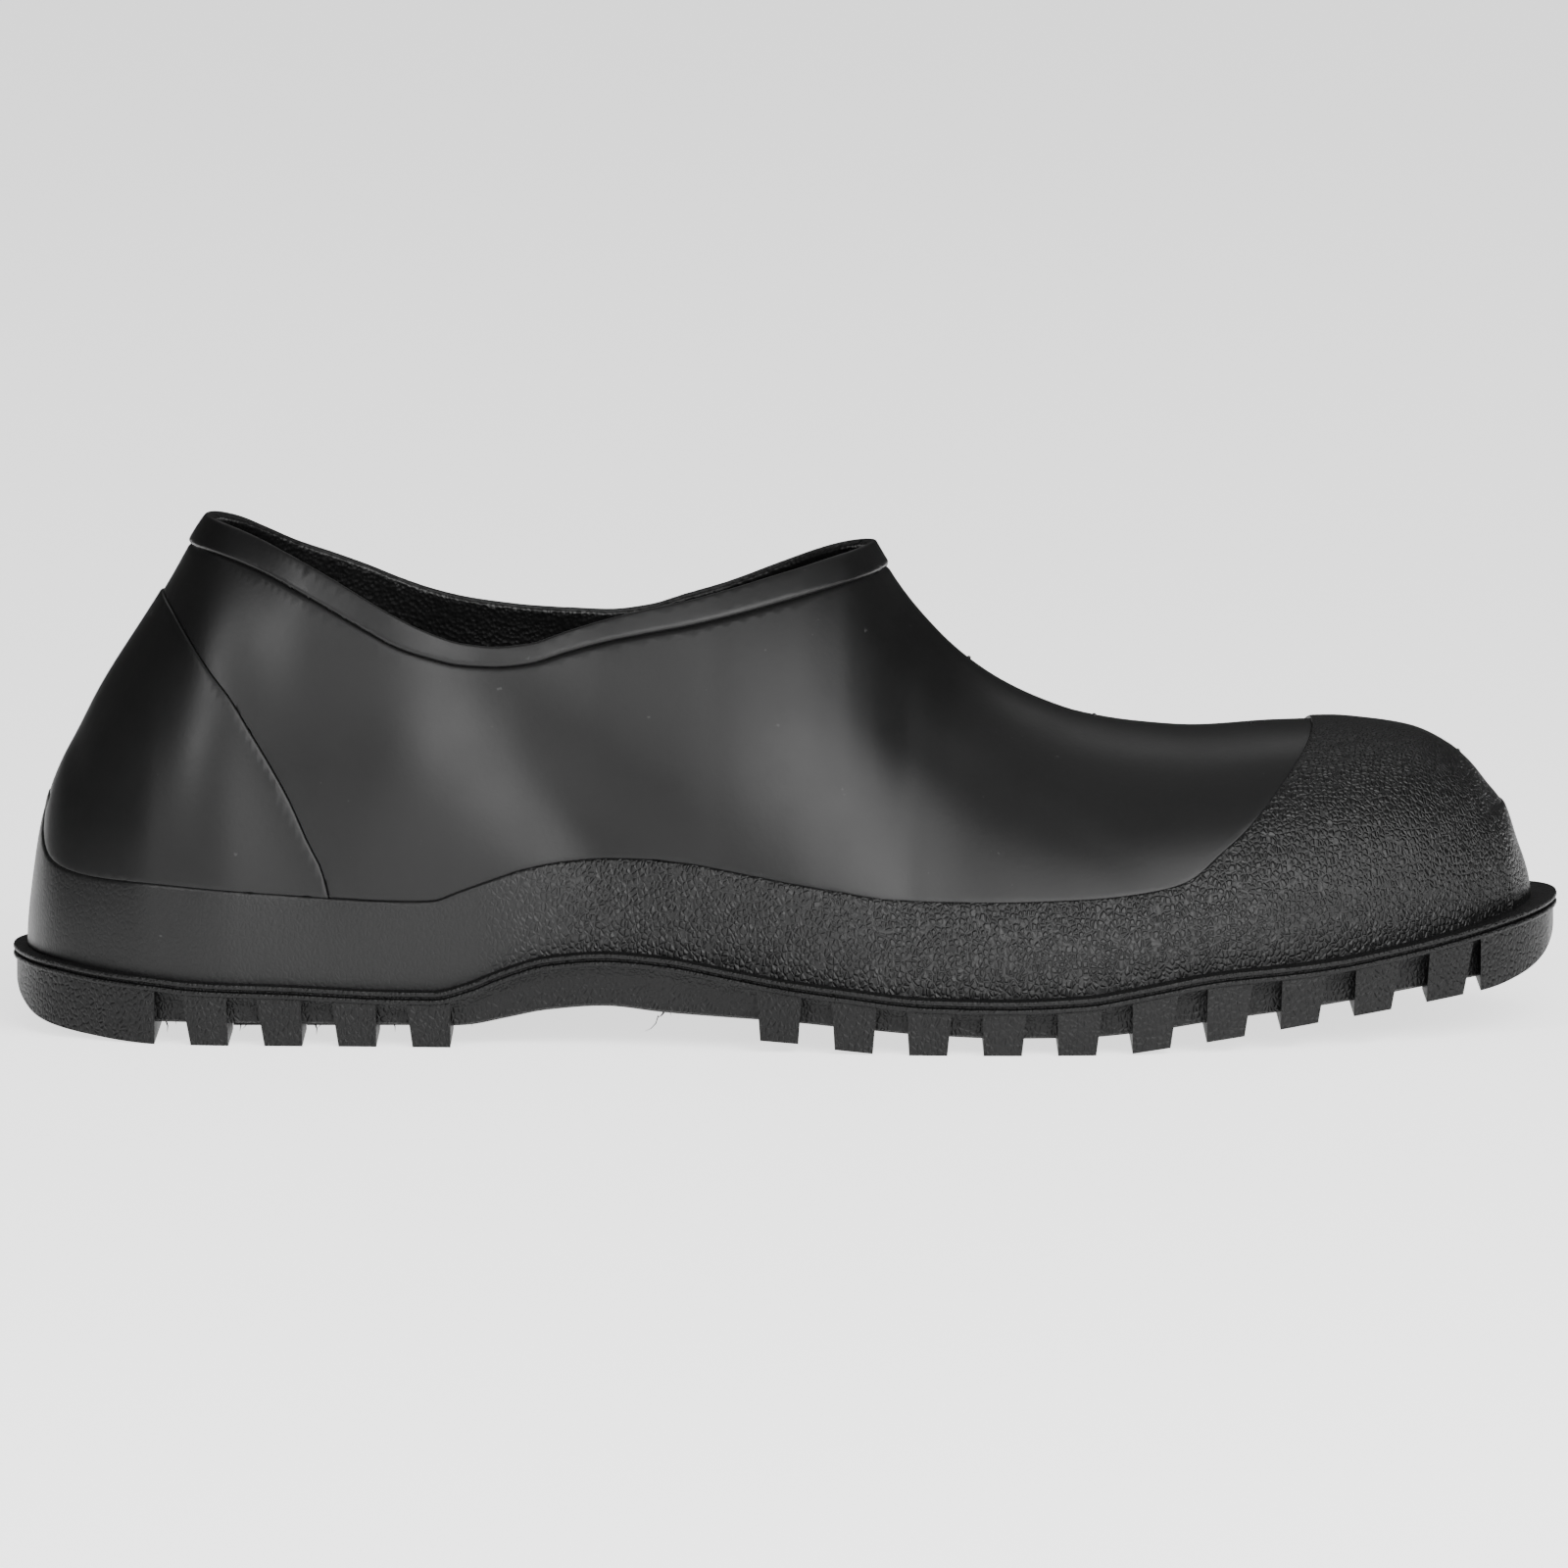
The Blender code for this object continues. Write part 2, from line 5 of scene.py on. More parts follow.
import bmesh
import bpy
import numpy as np
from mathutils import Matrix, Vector


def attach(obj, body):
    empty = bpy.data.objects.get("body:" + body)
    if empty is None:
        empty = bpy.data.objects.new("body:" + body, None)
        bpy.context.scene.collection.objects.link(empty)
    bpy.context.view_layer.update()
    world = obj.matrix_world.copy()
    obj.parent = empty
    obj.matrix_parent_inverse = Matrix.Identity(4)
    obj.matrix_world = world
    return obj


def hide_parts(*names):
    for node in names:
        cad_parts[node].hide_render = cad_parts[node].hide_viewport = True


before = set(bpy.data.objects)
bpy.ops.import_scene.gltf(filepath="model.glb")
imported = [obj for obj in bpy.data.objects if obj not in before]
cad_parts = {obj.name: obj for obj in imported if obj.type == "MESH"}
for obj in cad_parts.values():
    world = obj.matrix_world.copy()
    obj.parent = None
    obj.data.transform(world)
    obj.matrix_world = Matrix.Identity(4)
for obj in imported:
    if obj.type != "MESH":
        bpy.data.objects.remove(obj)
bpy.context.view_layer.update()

# Sizes of the shoe, in metres, as the solids have them. Places along the shoe are shares of LENGTH.
LENGTH = 0.322
BALL_WIDTH = 0.104
HEEL_TOP = 0.106
SEAT_HEIGHT = 0.0124
WALL = 0.0020
HEEL_FLANGE = 0.0036
TOE_FLANGE = 0.0067
LUG_PITCH = 0.01525
LUG_WIDTH = 0.0078
LUG_DRAFT = math.radians(4.0)
LUG_FAN = math.radians(9.0)
HEEL_LUGS = 4
FORE_LUGS = 10
CENTRE_LUG_SPAN = 0.018
CENTRE_CHANNEL = 0.006
HEEL_BLOCK_END = 0.096
TOE_BLOCK_START = 0.9455
FIRST_HEEL_LUG = 0.1315
FIRST_FORE_LUG = 0.4955
LUG_SETBACK = 0.0007
MM = 0.001
FAR = 0.15

# Mesh density: stations along the shoe, points over the arch, stations of the sole, and how near the ends
# the first and last station come, as an angle
LENGTH_STEPS = 280
ARCH_STEPS = 118
SOLE_STEPS = 240
POLE = 0.006
SOLE_POLE = 3 * POLE
SOLID_POLE = 0.035
SOLID_STATIONS = 49

# Foot plan: middle line and half width as shares of BALL_WIDTH
PLAN = {
    "at": (0.031, 0.056, 0.096, 0.149, 0.217, 0.295, 0.373, 0.450, 0.522, 0.590, 0.658, 0.720, 0.783,
           0.839, 0.885, 0.922, 0.950, 0.969),
    "centre": (0.0, 0.0, -0.002, -0.005, -0.012, -0.028, -0.041, -0.048, -0.046, -0.032, -0.014, 0.007,
               0.030, 0.049, 0.064, 0.072, 0.077, 0.079),
    "half": (0.210, 0.279, 0.344, 0.367, 0.368, 0.366, 0.374, 0.399, 0.440, 0.474, 0.495, 0.500, 0.484,
             0.448, 0.397, 0.332, 0.255, 0.165),
}

# Top line of the closed last: height as a share of HEEL_TOP, the section's squareness (2 is an ellipse),
# and how far its crest leans inwards, as a share of BALL_WIDTH
CREST = {
    "at": (0.0143, 0.0193, 0.0251, 0.0323, 0.0438, 0.0562, 0.0826, 0.0998, 0.1286, 0.160, 0.198, 0.250,
           0.310, 0.385, 0.460, 0.499, 0.535, 0.5545, 0.5625, 0.575, 0.587, 0.612, 0.638, 0.664, 0.689,
           0.727, 0.765, 0.816, 0.852, 0.879, 0.904, 0.929, 0.941, 0.953, 0.962, 0.971),
    "height": (0.274, 0.377, 0.453, 0.509, 0.575, 0.647, 0.774, 0.858, 1.003, 1.085, 1.180, 1.225, 1.135,
               1.075, 1.062, 1.055, 1.018, 0.953, 0.911, 0.853, 0.807, 0.730, 0.674, 0.635, 0.608, 0.587,
               0.578, 0.586, 0.588, 0.581, 0.568, 0.532, 0.501, 0.456, 0.421, 0.343),
    "square": (2.0, 2.0, 2.0, 2.0, 2.0, 2.0, 2.0, 2.0, 2.0, 2.0, 2.05, 2.15, 2.2, 2.2, 2.0, 1.8, 1.6,
               1.55, 1.55, 1.55, 1.58, 1.65, 1.75, 1.85, 1.95, 2.05, 2.15, 2.25, 2.3, 2.3, 2.3, 2.25, 2.2,
               2.2, 2.15, 2.1),
    "lean": (0.0, 0.0, 0.0, 0.0, 0.0, 0.0, 0.0, 0.0, 0.0, 0.002, 0.006, 0.012, 0.020, 0.032, 0.040, 0.042,
             0.042, 0.042, 0.041, 0.040, 0.038, 0.034, 0.028, 0.022, 0.015, 0.008, 0.0, -0.006, -0.008,
             -0.008, -0.008, -0.006, -0.004, 0.0, 0.0, 0.0),
}

# Side of the sole, shares of SEAT_HEIGHT: the flange's top edge, and the underside between the lugs
SOLE_SIDE = {
    "at": (0.0, 0.031, 0.056, 0.093, 0.118, 0.180, 0.245, 0.275, 0.295, 0.321, 0.347, 0.385, 0.422, 0.460,
           0.499, 0.537, 0.590, 0.640, 0.689, 0.727, 0.776, 0.842, 0.904, 0.963, 1.0),
    "seat": (1.340, 1.266, 1.185, 1.113, 1.050, 1.000, 0.930, 0.925, 1.050, 1.320, 1.520, 1.605, 1.540,
             1.370, 1.195, 1.073, 0.927, 0.903, 0.950, 1.105, 1.315, 1.444, 1.677, 1.960, 2.145),
    "under": (0.9, 0.45, 0.36, 0.355, 0.355, 0.350, 0.345, 0.330, 0.350, 0.480, 0.620, 0.700, 0.610,
              0.550, 0.500, 0.420, 0.310, 0.260, 0.270, 0.350, 0.520, 0.700, 0.900, 1.060, 1.300),
}

# Line that the lugs reach, shares of SEAT_HEIGHT
TREAD = {
    "at": (0.0, 0.003, 0.007, 0.018, 0.034, 0.058, 0.080, 0.100, 0.290, 0.490, 0.530, 0.560, 0.579, 0.706,
           0.745, 0.790, 0.832, 0.880, 0.926, 0.952, 0.974, 0.987, 0.996, 1.0),
    "drop": (1.000, 0.700, 0.520, 0.290, 0.170, 0.080, 0.025, 0.0, 0.0, 0.200, 0.080, 0.015, 0.0, 0.0,
             0.110, 0.260, 0.420, 0.580, 0.730, 0.810, 0.980, 1.170, 1.470, 1.900),
}

# Collar: the rim's height on the outer and inner side and the band's height, shares of HEEL_TOP
COLLAR = {
    "at": (0.0, 0.127, 0.144, 0.161, 0.182, 0.207, 0.230, 0.248, 0.270, 0.292, 0.314, 0.335, 0.360, 0.385,
           0.410, 0.435, 0.463, 0.499, 0.531, 0.556, 0.578, 0.714, 1.0),
    "outer": (1.030, 1.000, 0.989, 0.972, 0.942, 0.902, 0.862, 0.831, 0.799, 0.777, 0.770, 0.776, 0.800,
              0.822, 0.840, 0.855, 0.876, 0.906, 0.932, 0.948, 0.960, 0.975, 0.975),
    "inner": (1.030, 1.000, 0.983, 0.957, 0.926, 0.898, 0.871, 0.848, 0.825, 0.809, 0.799, 0.792, 0.788,
              0.785, 0.794, 0.817, 0.843, 0.886, 0.925, 0.947, 0.960, 0.975, 0.975),
    "band": (0.059, 0.059, 0.060, 0.061, 0.061, 0.061, 0.060, 0.058, 0.049, 0.042, 0.038, 0.038, 0.040,
             0.042, 0.045, 0.047, 0.050, 0.053, 0.055, 0.055, 0.052, 0.040, 0.040),
}

# Panel edges seen from the side: the rand's upper edge, the counter's front edge and the toe bumper's edge
FOXING_EDGE = {
    "at": (-0.09, 0.0, 0.0225, 0.0262, 0.0255, 0.0227, 0.0222, 0.0238, 0.0285, 0.0395, 0.056, 0.093,
           0.169, 0.258, 0.274, 0.290, 0.309, 0.334, 0.359, 0.385, 0.410, 0.435, 0.461, 0.499, 0.537,
           0.565, 0.625, 0.689, 0.740, 0.757, 0.777, 0.793, 0.809, 0.822, 0.829, 0.838, 0.8415, 0.845),
    "height": (0.468, 0.468, 0.466, 0.458, 0.442, 0.418, 0.387, 0.359, 0.337, 0.322, 0.314, 0.309, 0.293,
               0.280, 0.281, 0.298, 0.319, 0.345, 0.360, 0.366, 0.365, 0.359, 0.346, 0.325, 0.306, 0.293,
               0.287, 0.292, 0.310, 0.326, 0.374, 0.414, 0.466, 0.511, 0.538, 0.577, 0.600, 0.640),
}

COUNTER_EDGE = {
    "at": (0.088, 0.098, 0.1056, 0.1186, 0.131, 0.1438, 0.1565, 0.1693, 0.182, 0.1947, 0.2028, 0.209),
    "height": (0.900, 0.852, 0.825, 0.769, 0.716, 0.668, 0.607, 0.544, 0.475, 0.390, 0.342, 0.270),
}

BUMPER_EDGE = {
    "at": (0.990, 0.956, 0.951, 0.950, 0.953, 0.958, 0.962, 0.965),
    "height": (0.430, 0.420, 0.412, 0.395, 0.360, 0.325, 0.290, 0.180),
}

# Relief across a panel's edge: distance into the panel and height above the bare wall, in millimetres
FOXING_STEP = ((0.0, 0.15, 0.40, 0.90), (0.30, 0.55, 0.67, 0.70))
BESIDE_FOXING = ((-1.2, -0.30, -0.06, 0.0), (0.0, -0.02, -0.08, -0.60))
COUNTER_STEP = ((0.0, 0.20, 0.50), (0.12, 0.36, 0.45))
COUNTER_PROUD = COUNTER_STEP[1][-1]
COUNTER_DIP_SHARE = 0.6
BESIDE_COUNTER = ((-0.8, -0.2, 0.0), (0.0, -0.05, -0.30))
BAND_STEP = ((0.0, 0.15, 0.45, 1.0), (0.15, 0.50, 0.66, 0.70))
BELOW_BAND = ((-1.1, -0.5, -0.15, 0.0), (0.0, -0.15, -0.38, -0.45))
BUMPER_STEP = ((0.0, 0.3, 0.8), (0.0, 0.35, 0.45))
UNDER_OVERLAY = -0.6
OVERLAY_BACK = -0.3
LIP_ROUND = 0.6
PIP_PROUD = 0.7
# Angles from which an edge counts as a corner
PANEL_CORNER = math.radians(50)
SOLE_CORNER = math.radians(35)
# Where knives cut the skin beside each panel's edge, so that the relief's corners have points, in mm
KNIVES = (
    ("foxing", (-1.2, -0.30, -0.06, 0.0, 0.15, 0.40, 0.90)),
    ("counter", (-0.8, -0.2, 0.0, 0.2, 0.5)),
    ("bumper", (0.0, 0.3, 0.8)),
    ("band", (-1.1, -0.5, -0.15, 0.0, 0.15, 0.45, 1.0)),
    ("rim", (-0.6, -0.35, -0.15, -0.04, 0.0)),
)
NEAR_CORNER = 0.06
# Place of the toe cap's rear edge on the centre line, in metres
CAP_START = 0.27
# Brightness of the bright specks painted into every rubber's colour: painted glints of the grain
PAINTED_GLINT = 0.02


def monotone_curve(at, values):
    """A smooth function through the points that never overshoots them."""
    at = np.asarray(at, float)
    values = np.asarray(values, float)
    gaps = np.diff(at)
    slopes = np.diff(values) / gaps
    tangents = np.zeros(len(at))
    tangents[0] = slopes[0]
    tangents[-1] = slopes[-1]
    for i in range(1, len(at) - 1):
        before, after = slopes[i - 1], slopes[i]
        if before * after > 0:
            weight_before = 2 * gaps[i] + gaps[i - 1]
            weight_after = gaps[i] + 2 * gaps[i - 1]
            tangents[i] = (weight_before + weight_after) / (weight_before / before + weight_after / after)

    def value(x):
        x = np.clip(x, at[0], at[-1])
        i = np.clip(np.searchsorted(at, x, side="right") - 1, 0, len(gaps) - 1)
        t = (x - at[i]) / gaps[i]
        h00 = (1 + 2 * t) * (1 - t) ** 2
        h10 = t * (1 - t) ** 2
        h01 = t * t * (3 - 2 * t)
        h11 = t * t * (t - 1)
        rise = h10 * gaps[i] * tangents[i] + h11 * gaps[i] * tangents[i + 1]
        return h00 * values[i] + h01 * values[i + 1] + rise

    return value


def column(table, name, unit):
    share = monotone_curve(table["at"], table[name])
    return lambda x: share(np.asarray(x, float) / LENGTH) * unit


seat_at = column(SOLE_SIDE, "seat", SEAT_HEIGHT)
under_at = column(SOLE_SIDE, "under", SEAT_HEIGHT)
tread_at = column(TREAD, "drop", SEAT_HEIGHT)
outer_rim_at = column(COLLAR, "outer", HEEL_TOP)
inner_rim_at = column(COLLAR, "inner", HEEL_TOP)
band_at = column(COLLAR, "band", HEEL_TOP)

LAST_START = HEEL_FLANGE
LAST_END = LENGTH - TOE_FLANGE


def length_at(turn):
    return LAST_START + (LAST_END - LAST_START) * (1 - np.cos(turn)) / 2


def turn_of(share):
    along = np.clip((np.asarray(share) * LENGTH - LAST_START) / (LAST_END - LAST_START), 0, 1)
    return np.arccos(1 - 2 * along)


def round_ended(table, name, unit, start, end):
    turns = turn_of(table["at"])
    values = np.asarray(table[name]) * unit
    return monotone_curve(np.r_[0.0, turns, math.pi], np.r_[start, values, end])


plan_centre = round_ended(PLAN, "centre", BALL_WIDTH, 0.0, PLAN["centre"][-1] * BALL_WIDTH)
plan_half = round_ended(PLAN, "half", BALL_WIDTH, 0.0, 0.0)
crest_height = round_ended(CREST, "height", HEEL_TOP, float(seat_at(LAST_START)), float(seat_at(LAST_END)))
crest_square = round_ended(CREST, "square", 1.0, CREST["square"][0], CREST["square"][-1])
crest_lean = round_ended(CREST, "lean", BALL_WIDTH, 0.0, 0.0)


def outline(inset, turns):
    """Outer and inner edge of the sole in plan, drawn in from the flange's edge by inset."""
    x = length_at(turns)
    flange = HEEL_FLANGE + (TOE_FLANGE - HEEL_FLANGE) * (x / LENGTH) - inset
    sides = []
    for sign in (-1, 1):
        y = plan_centre(turns) + sign * plan_half(turns)
        tangent = np.stack([np.gradient(x), np.gradient(y)], axis=1)
        normal = np.stack([-sign * tangent[:, 1], sign * tangent[:, 0]], axis=1)
        normal /= np.linalg.norm(normal, axis=1, keepdims=True)
        sides.append(np.stack([x, y], axis=1) + normal * flange[:, None])
    return sides


# The solids' own stations give the shift from the heel's end to the middle of the bounding box
CAD_EDGES = outline(0.0, np.linspace(SOLID_POLE, math.pi - SOLID_POLE, SOLID_STATIONS))
MIDDLE = np.array([
    (CAD_EDGES[0][:, 0].min() + CAD_EDGES[0][:, 0].max()) / 2,
    (CAD_EDGES[0][:, 1].min() + CAD_EDGES[1][:, 1].max()) / 2,
    0.0,
])


def last_grid():
    """Points and outward normals of the last's surface, a row for each station."""
    turns = np.linspace(POLE, math.pi - POLE, LENGTH_STEPS + 1)
    angles = np.linspace(0, math.pi, ARCH_STEPS + 1)
    x = length_at(turns)[:, None]
    power = 2 / crest_square(turns)[:, None]
    rise = np.abs(np.sin(angles))[None, :] ** power
    side = np.sign(np.cos(angles))[None, :] * np.abs(np.cos(angles))[None, :] ** power
    seat = seat_at(x)
    middle = plan_centre(turns)[:, None] + crest_lean(turns)[:, None] * rise ** 2
    y = middle - plan_half(turns)[:, None] * side
    z = seat + (crest_height(turns)[:, None] - seat) * rise
    grid = np.stack([x + 0 * rise, y, z], axis=2)
    around = np.gradient(grid, axis=1)
    around[:, 0] = (0, 0, 1)
    around[:, -1] = (0, 0, -1)
    normals = np.cross(np.gradient(grid, axis=0), around)
    normals /= np.linalg.norm(normals, axis=2, keepdims=True)
    return grid, normals


def edge_line(table, steps):
    x = np.asarray(table["at"]) * LENGTH
    z = np.asarray(table["height"]) * HEEL_TOP
    run = np.r_[0.0, np.cumsum(np.hypot(np.diff(x), np.diff(z)))]
    at = np.linspace(0, run[-1], steps)
    return np.stack([monotone_curve(run, x)(at), monotone_curve(run, z)(at)], axis=1)


def inside_distance(points, polygon):
    """Distance in millimetres from each point, seen from the side, to the outline, positive inside it."""
    p = points[:, [0, 2]]
    nearest = np.full(len(p), np.inf)
    inside = np.zeros(len(p), bool)
    for a, b in zip(polygon, np.roll(polygon, -1, axis=0)):
        span = b - a
        t = np.clip(((p - a) @ span) / (span @ span), 0, 1)
        nearest = np.minimum(nearest, np.linalg.norm(p - a - t[:, None] * span, axis=1))
        if a[1] != b[1]:
            crosses = ((a[1] > p[:, 1]) != (b[1] > p[:, 1]))
            inside ^= crosses & (p[:, 0] < (b[0] - a[0]) * (p[:, 1] - a[1]) / (b[1] - a[1]) + a[0])
    return np.where(inside, nearest, -nearest) / MM


def closed_outline(line, corners_before, corners_after):
    return np.array([*corners_before, *line, *corners_after])


# The outlines reach well past the shoe on the sides where they follow no panel's edge
PAST = 0.05
OVER_HEEL = HEEL_TOP * 1.3
FOXING_LINE = edge_line(FOXING_EDGE, 220)
FOXING_ZONE = closed_outline(FOXING_LINE, [(FOXING_LINE[0][0], -PAST)],
                             [(LENGTH + PAST, FOXING_LINE[-1][1]), (LENGTH + PAST, -PAST)])
COUNTER_LINE = edge_line(COUNTER_EDGE, 60)
COUNTER_ZONE = closed_outline(COUNTER_LINE,
                              [(-PAST, -PAST), (-PAST, OVER_HEEL), (COUNTER_LINE[0][0], OVER_HEEL)],
                              [(COUNTER_LINE[-1][0], -PAST)])
BUMPER_LINE = edge_line(BUMPER_EDGE, 60)
BUMPER_ZONE = closed_outline(BUMPER_LINE, [(LENGTH + PAST, BUMPER_LINE[0][1])],
                             [(LENGTH + PAST, BUMPER_LINE[-1][1])])


# Half the width over which the rim's height passes from the outer to the inner side's
RIM_BLEND = 0.24 * BALL_WIDTH


def rim_height(points):
    """Height of the collar's rim over each point, between its outer and inner side."""
    across = np.clip((points[:, 1] / RIM_BLEND + 1) / 2, 0, 1)
    x = points[:, 0]
    return outer_rim_at(x) * (1 - across) + inner_rim_at(x) * across


def above_line(points, below_rim):
    """Distance in millimetres above the rim, or above the band's lower edge, square to that line."""
    def level(p):
        return rim_height(p) - (band_at(p[:, 0]) if below_rim else 0.0)

    ahead = points + (MM, 0, 0)
    behind = points - (MM, 0, 0)
    slope = (level(ahead) - level(behind)) / (2 * MM)
    return (points[:, 2] - level(points)) / np.sqrt(1 + slope ** 2) / MM


FIELDS = {
    "foxing": lambda p: inside_distance(p, FOXING_ZONE),
    "counter": lambda p: inside_distance(p, COUNTER_ZONE),
    "bumper": lambda p: inside_distance(p, BUMPER_ZONE),
    "rim": lambda p: above_line(p, False),
    "band": lambda p: above_line(p, True),
}


class Skin:
    """The last's surface as triangles, with its normals and its distances to the panels' edges."""

    def __init__(self):
        grid, normals = last_grid()
        rows, columns = grid.shape[:2]
        self.points = grid.reshape(-1, 3)
        self.normals = normals.reshape(-1, 3)
        index = np.arange(rows * columns).reshape(rows, columns)
        a, b, c, d = index[:-1, :-1], index[:-1, 1:], index[1:, 1:], index[1:, :-1]
        quads = np.stack([a, d, c, b], axis=2).reshape(-1, 4)
        caps = []
        half = columns // 2
        for row, flip in ((index[0], False), (index[-1], True)):
            for j in range(half):
                cap = [row[j], row[j + 1], row[columns - 2 - j], row[columns - 1 - j]]
                caps.append(cap[::-1] if flip else cap)
        quads = np.concatenate([quads, caps])
        self.triangles = np.concatenate([quads[:, [0, 1, 2]], quads[:, [0, 2, 3]]])
        self.drop_collapsed()
        self.fields = {name: field(self.points) for name, field in FIELDS.items()}

    def drop_collapsed(self):
        t = self.triangles
        keep = (t[:, 0] != t[:, 1]) & (t[:, 1] != t[:, 2]) & (t[:, 0] != t[:, 2])
        self.triangles = t[keep]

    def knife(self, name, level):
        """Splits the triangles so that the line where the field has this level runs along their edges."""
        gap = self.fields[name] - level
        side = np.sign(gap)
        tri = self.triangles
        low, high = side[tri].min(axis=1), side[tri].max(axis=1)
        crossing = np.nonzero((low < 0) & (high > 0))[0]
        for triangle in tri[crossing]:
            for i in range(3):
                u, v = triangle[i], triangle[(i + 1) % 3]
                if side[u] * side[v] < 0:
                    t = gap[u] / (gap[u] - gap[v])
                    if t < NEAR_CORNER:
                        side[u] = 0
                    elif t > 1 - NEAR_CORNER:
                        side[v] = 0
        made = {}
        new_points, new_normals = [], []

        def split(u, v):
            key = (min(u, v), max(u, v))
            if key not in made:
                t = gap[u] / (gap[u] - gap[v])
                made[key] = len(self.points) + len(new_points)
                new_points.append(self.points[u] * (1 - t) + self.points[v] * t)
                normal = self.normals[u] * (1 - t) + self.normals[v] * t
                new_normals.append(normal / np.linalg.norm(normal))
            return made[key]

        pieces = []
        changed = []
        for k in crossing:
            triangle = list(tri[k])
            signs = side[triangle]
            if not (signs.min() < 0 < signs.max()):
                continue
            changed.append(k)
            if (signs == 0).any():
                i = int(np.nonzero(signs == 0)[0][0])
                a, b, c = triangle[i], triangle[(i + 1) % 3], triangle[(i + 2) % 3]
                m = split(b, c)
                pieces += [(a, b, m), (a, m, c)]
            else:
                # The lone corner's sign is the opposite of the three signs' sum
                i = int(np.nonzero(signs == -signs.sum())[0][0])
                a, b, c = triangle[i], triangle[(i + 1) % 3], triangle[(i + 2) % 3]
                m, n = split(a, b), split(a, c)
                pieces += [(a, m, n), (m, b, c), (m, c, n)]
        if not pieces:
            return
        if new_points:
            added = np.array(new_points)
            self.points = np.concatenate([self.points, added])
            self.normals = np.concatenate([self.normals, np.array(new_normals)])
            for field_name, field in FIELDS.items():
                self.fields[field_name] = np.concatenate([self.fields[field_name], field(added)])
            self.fields[name][-len(added):] = level
        keep = np.ones(len(tri), bool)
        keep[changed] = False
        self.triangles = np.concatenate([tri[keep], np.array(pieces)])

    def face_value(self, name):
        return self.fields[name][self.triangles].mean(axis=1)


def remove_above_rim(skin):
    skin.triangles = skin.triangles[skin.face_value("rim") < 0]


def closed_piece(skin, faces, outer, inner):
    """Points and triangles of the closed solid between two offsets over some of the skin's faces."""
    used = np.unique(faces)
    lookup = np.full(len(skin.points), -1)
    lookup[used] = np.arange(len(used))
    top = skin.points[used] + skin.normals[used] * outer[used][:, None] * MM
    back = skin.points[used] + skin.normals[used] * inner[used][:, None] * MM
    tri = lookup[faces]
    count = len(used)
    ends = np.concatenate([tri[:, [0, 1]], tri[:, [1, 2]], tri[:, [2, 0]]])
    keys = ends[:, 0] * count + ends[:, 1]
    border = ends[~np.isin(keys, ends[:, 1] * count + ends[:, 0])]
    a, b = border[:, 0], border[:, 1]
    walls = np.concatenate([np.stack([b, a, a + count], axis=1),
                            np.stack([b, a + count, b + count], axis=1)])
    return np.concatenate([top, back]), np.concatenate([tri, tri[:, ::-1] + count, walls])


def mesh_piece(name, points, faces, material, inner_from=0, weld=2e-6):
    mesh = bpy.data.meshes.new(name)
    mesh.from_pydata((points - MIDDLE).tolist(), [], [tuple(map(int, f)) for f in faces])
    if inner_from:
        inside = mesh.attributes.new("inside", "FLOAT", "POINT")
        inside.data.foreach_set("value", (np.arange(len(points)) >= inner_from).astype(float))
    shell = bmesh.new()
    shell.from_mesh(mesh)
    bmesh.ops.remove_doubles(shell, verts=shell.verts, dist=weld)
    bmesh.ops.dissolve_degenerate(shell, edges=shell.edges, dist=1e-6)
    bmesh.ops.recalc_face_normals(shell, faces=shell.faces)
    shell.to_mesh(mesh)
    shell.free()
    mesh.shade_smooth()
    mesh.set_sharp_from_angle(angle=PANEL_CORNER)
    mesh.materials.append(material)
    obj = bpy.data.objects.new(name, mesh)
    bpy.context.scene.collection.objects.link(obj)
    return obj


def relief(distance, profile):
    return np.interp(distance, profile[0], profile[1])


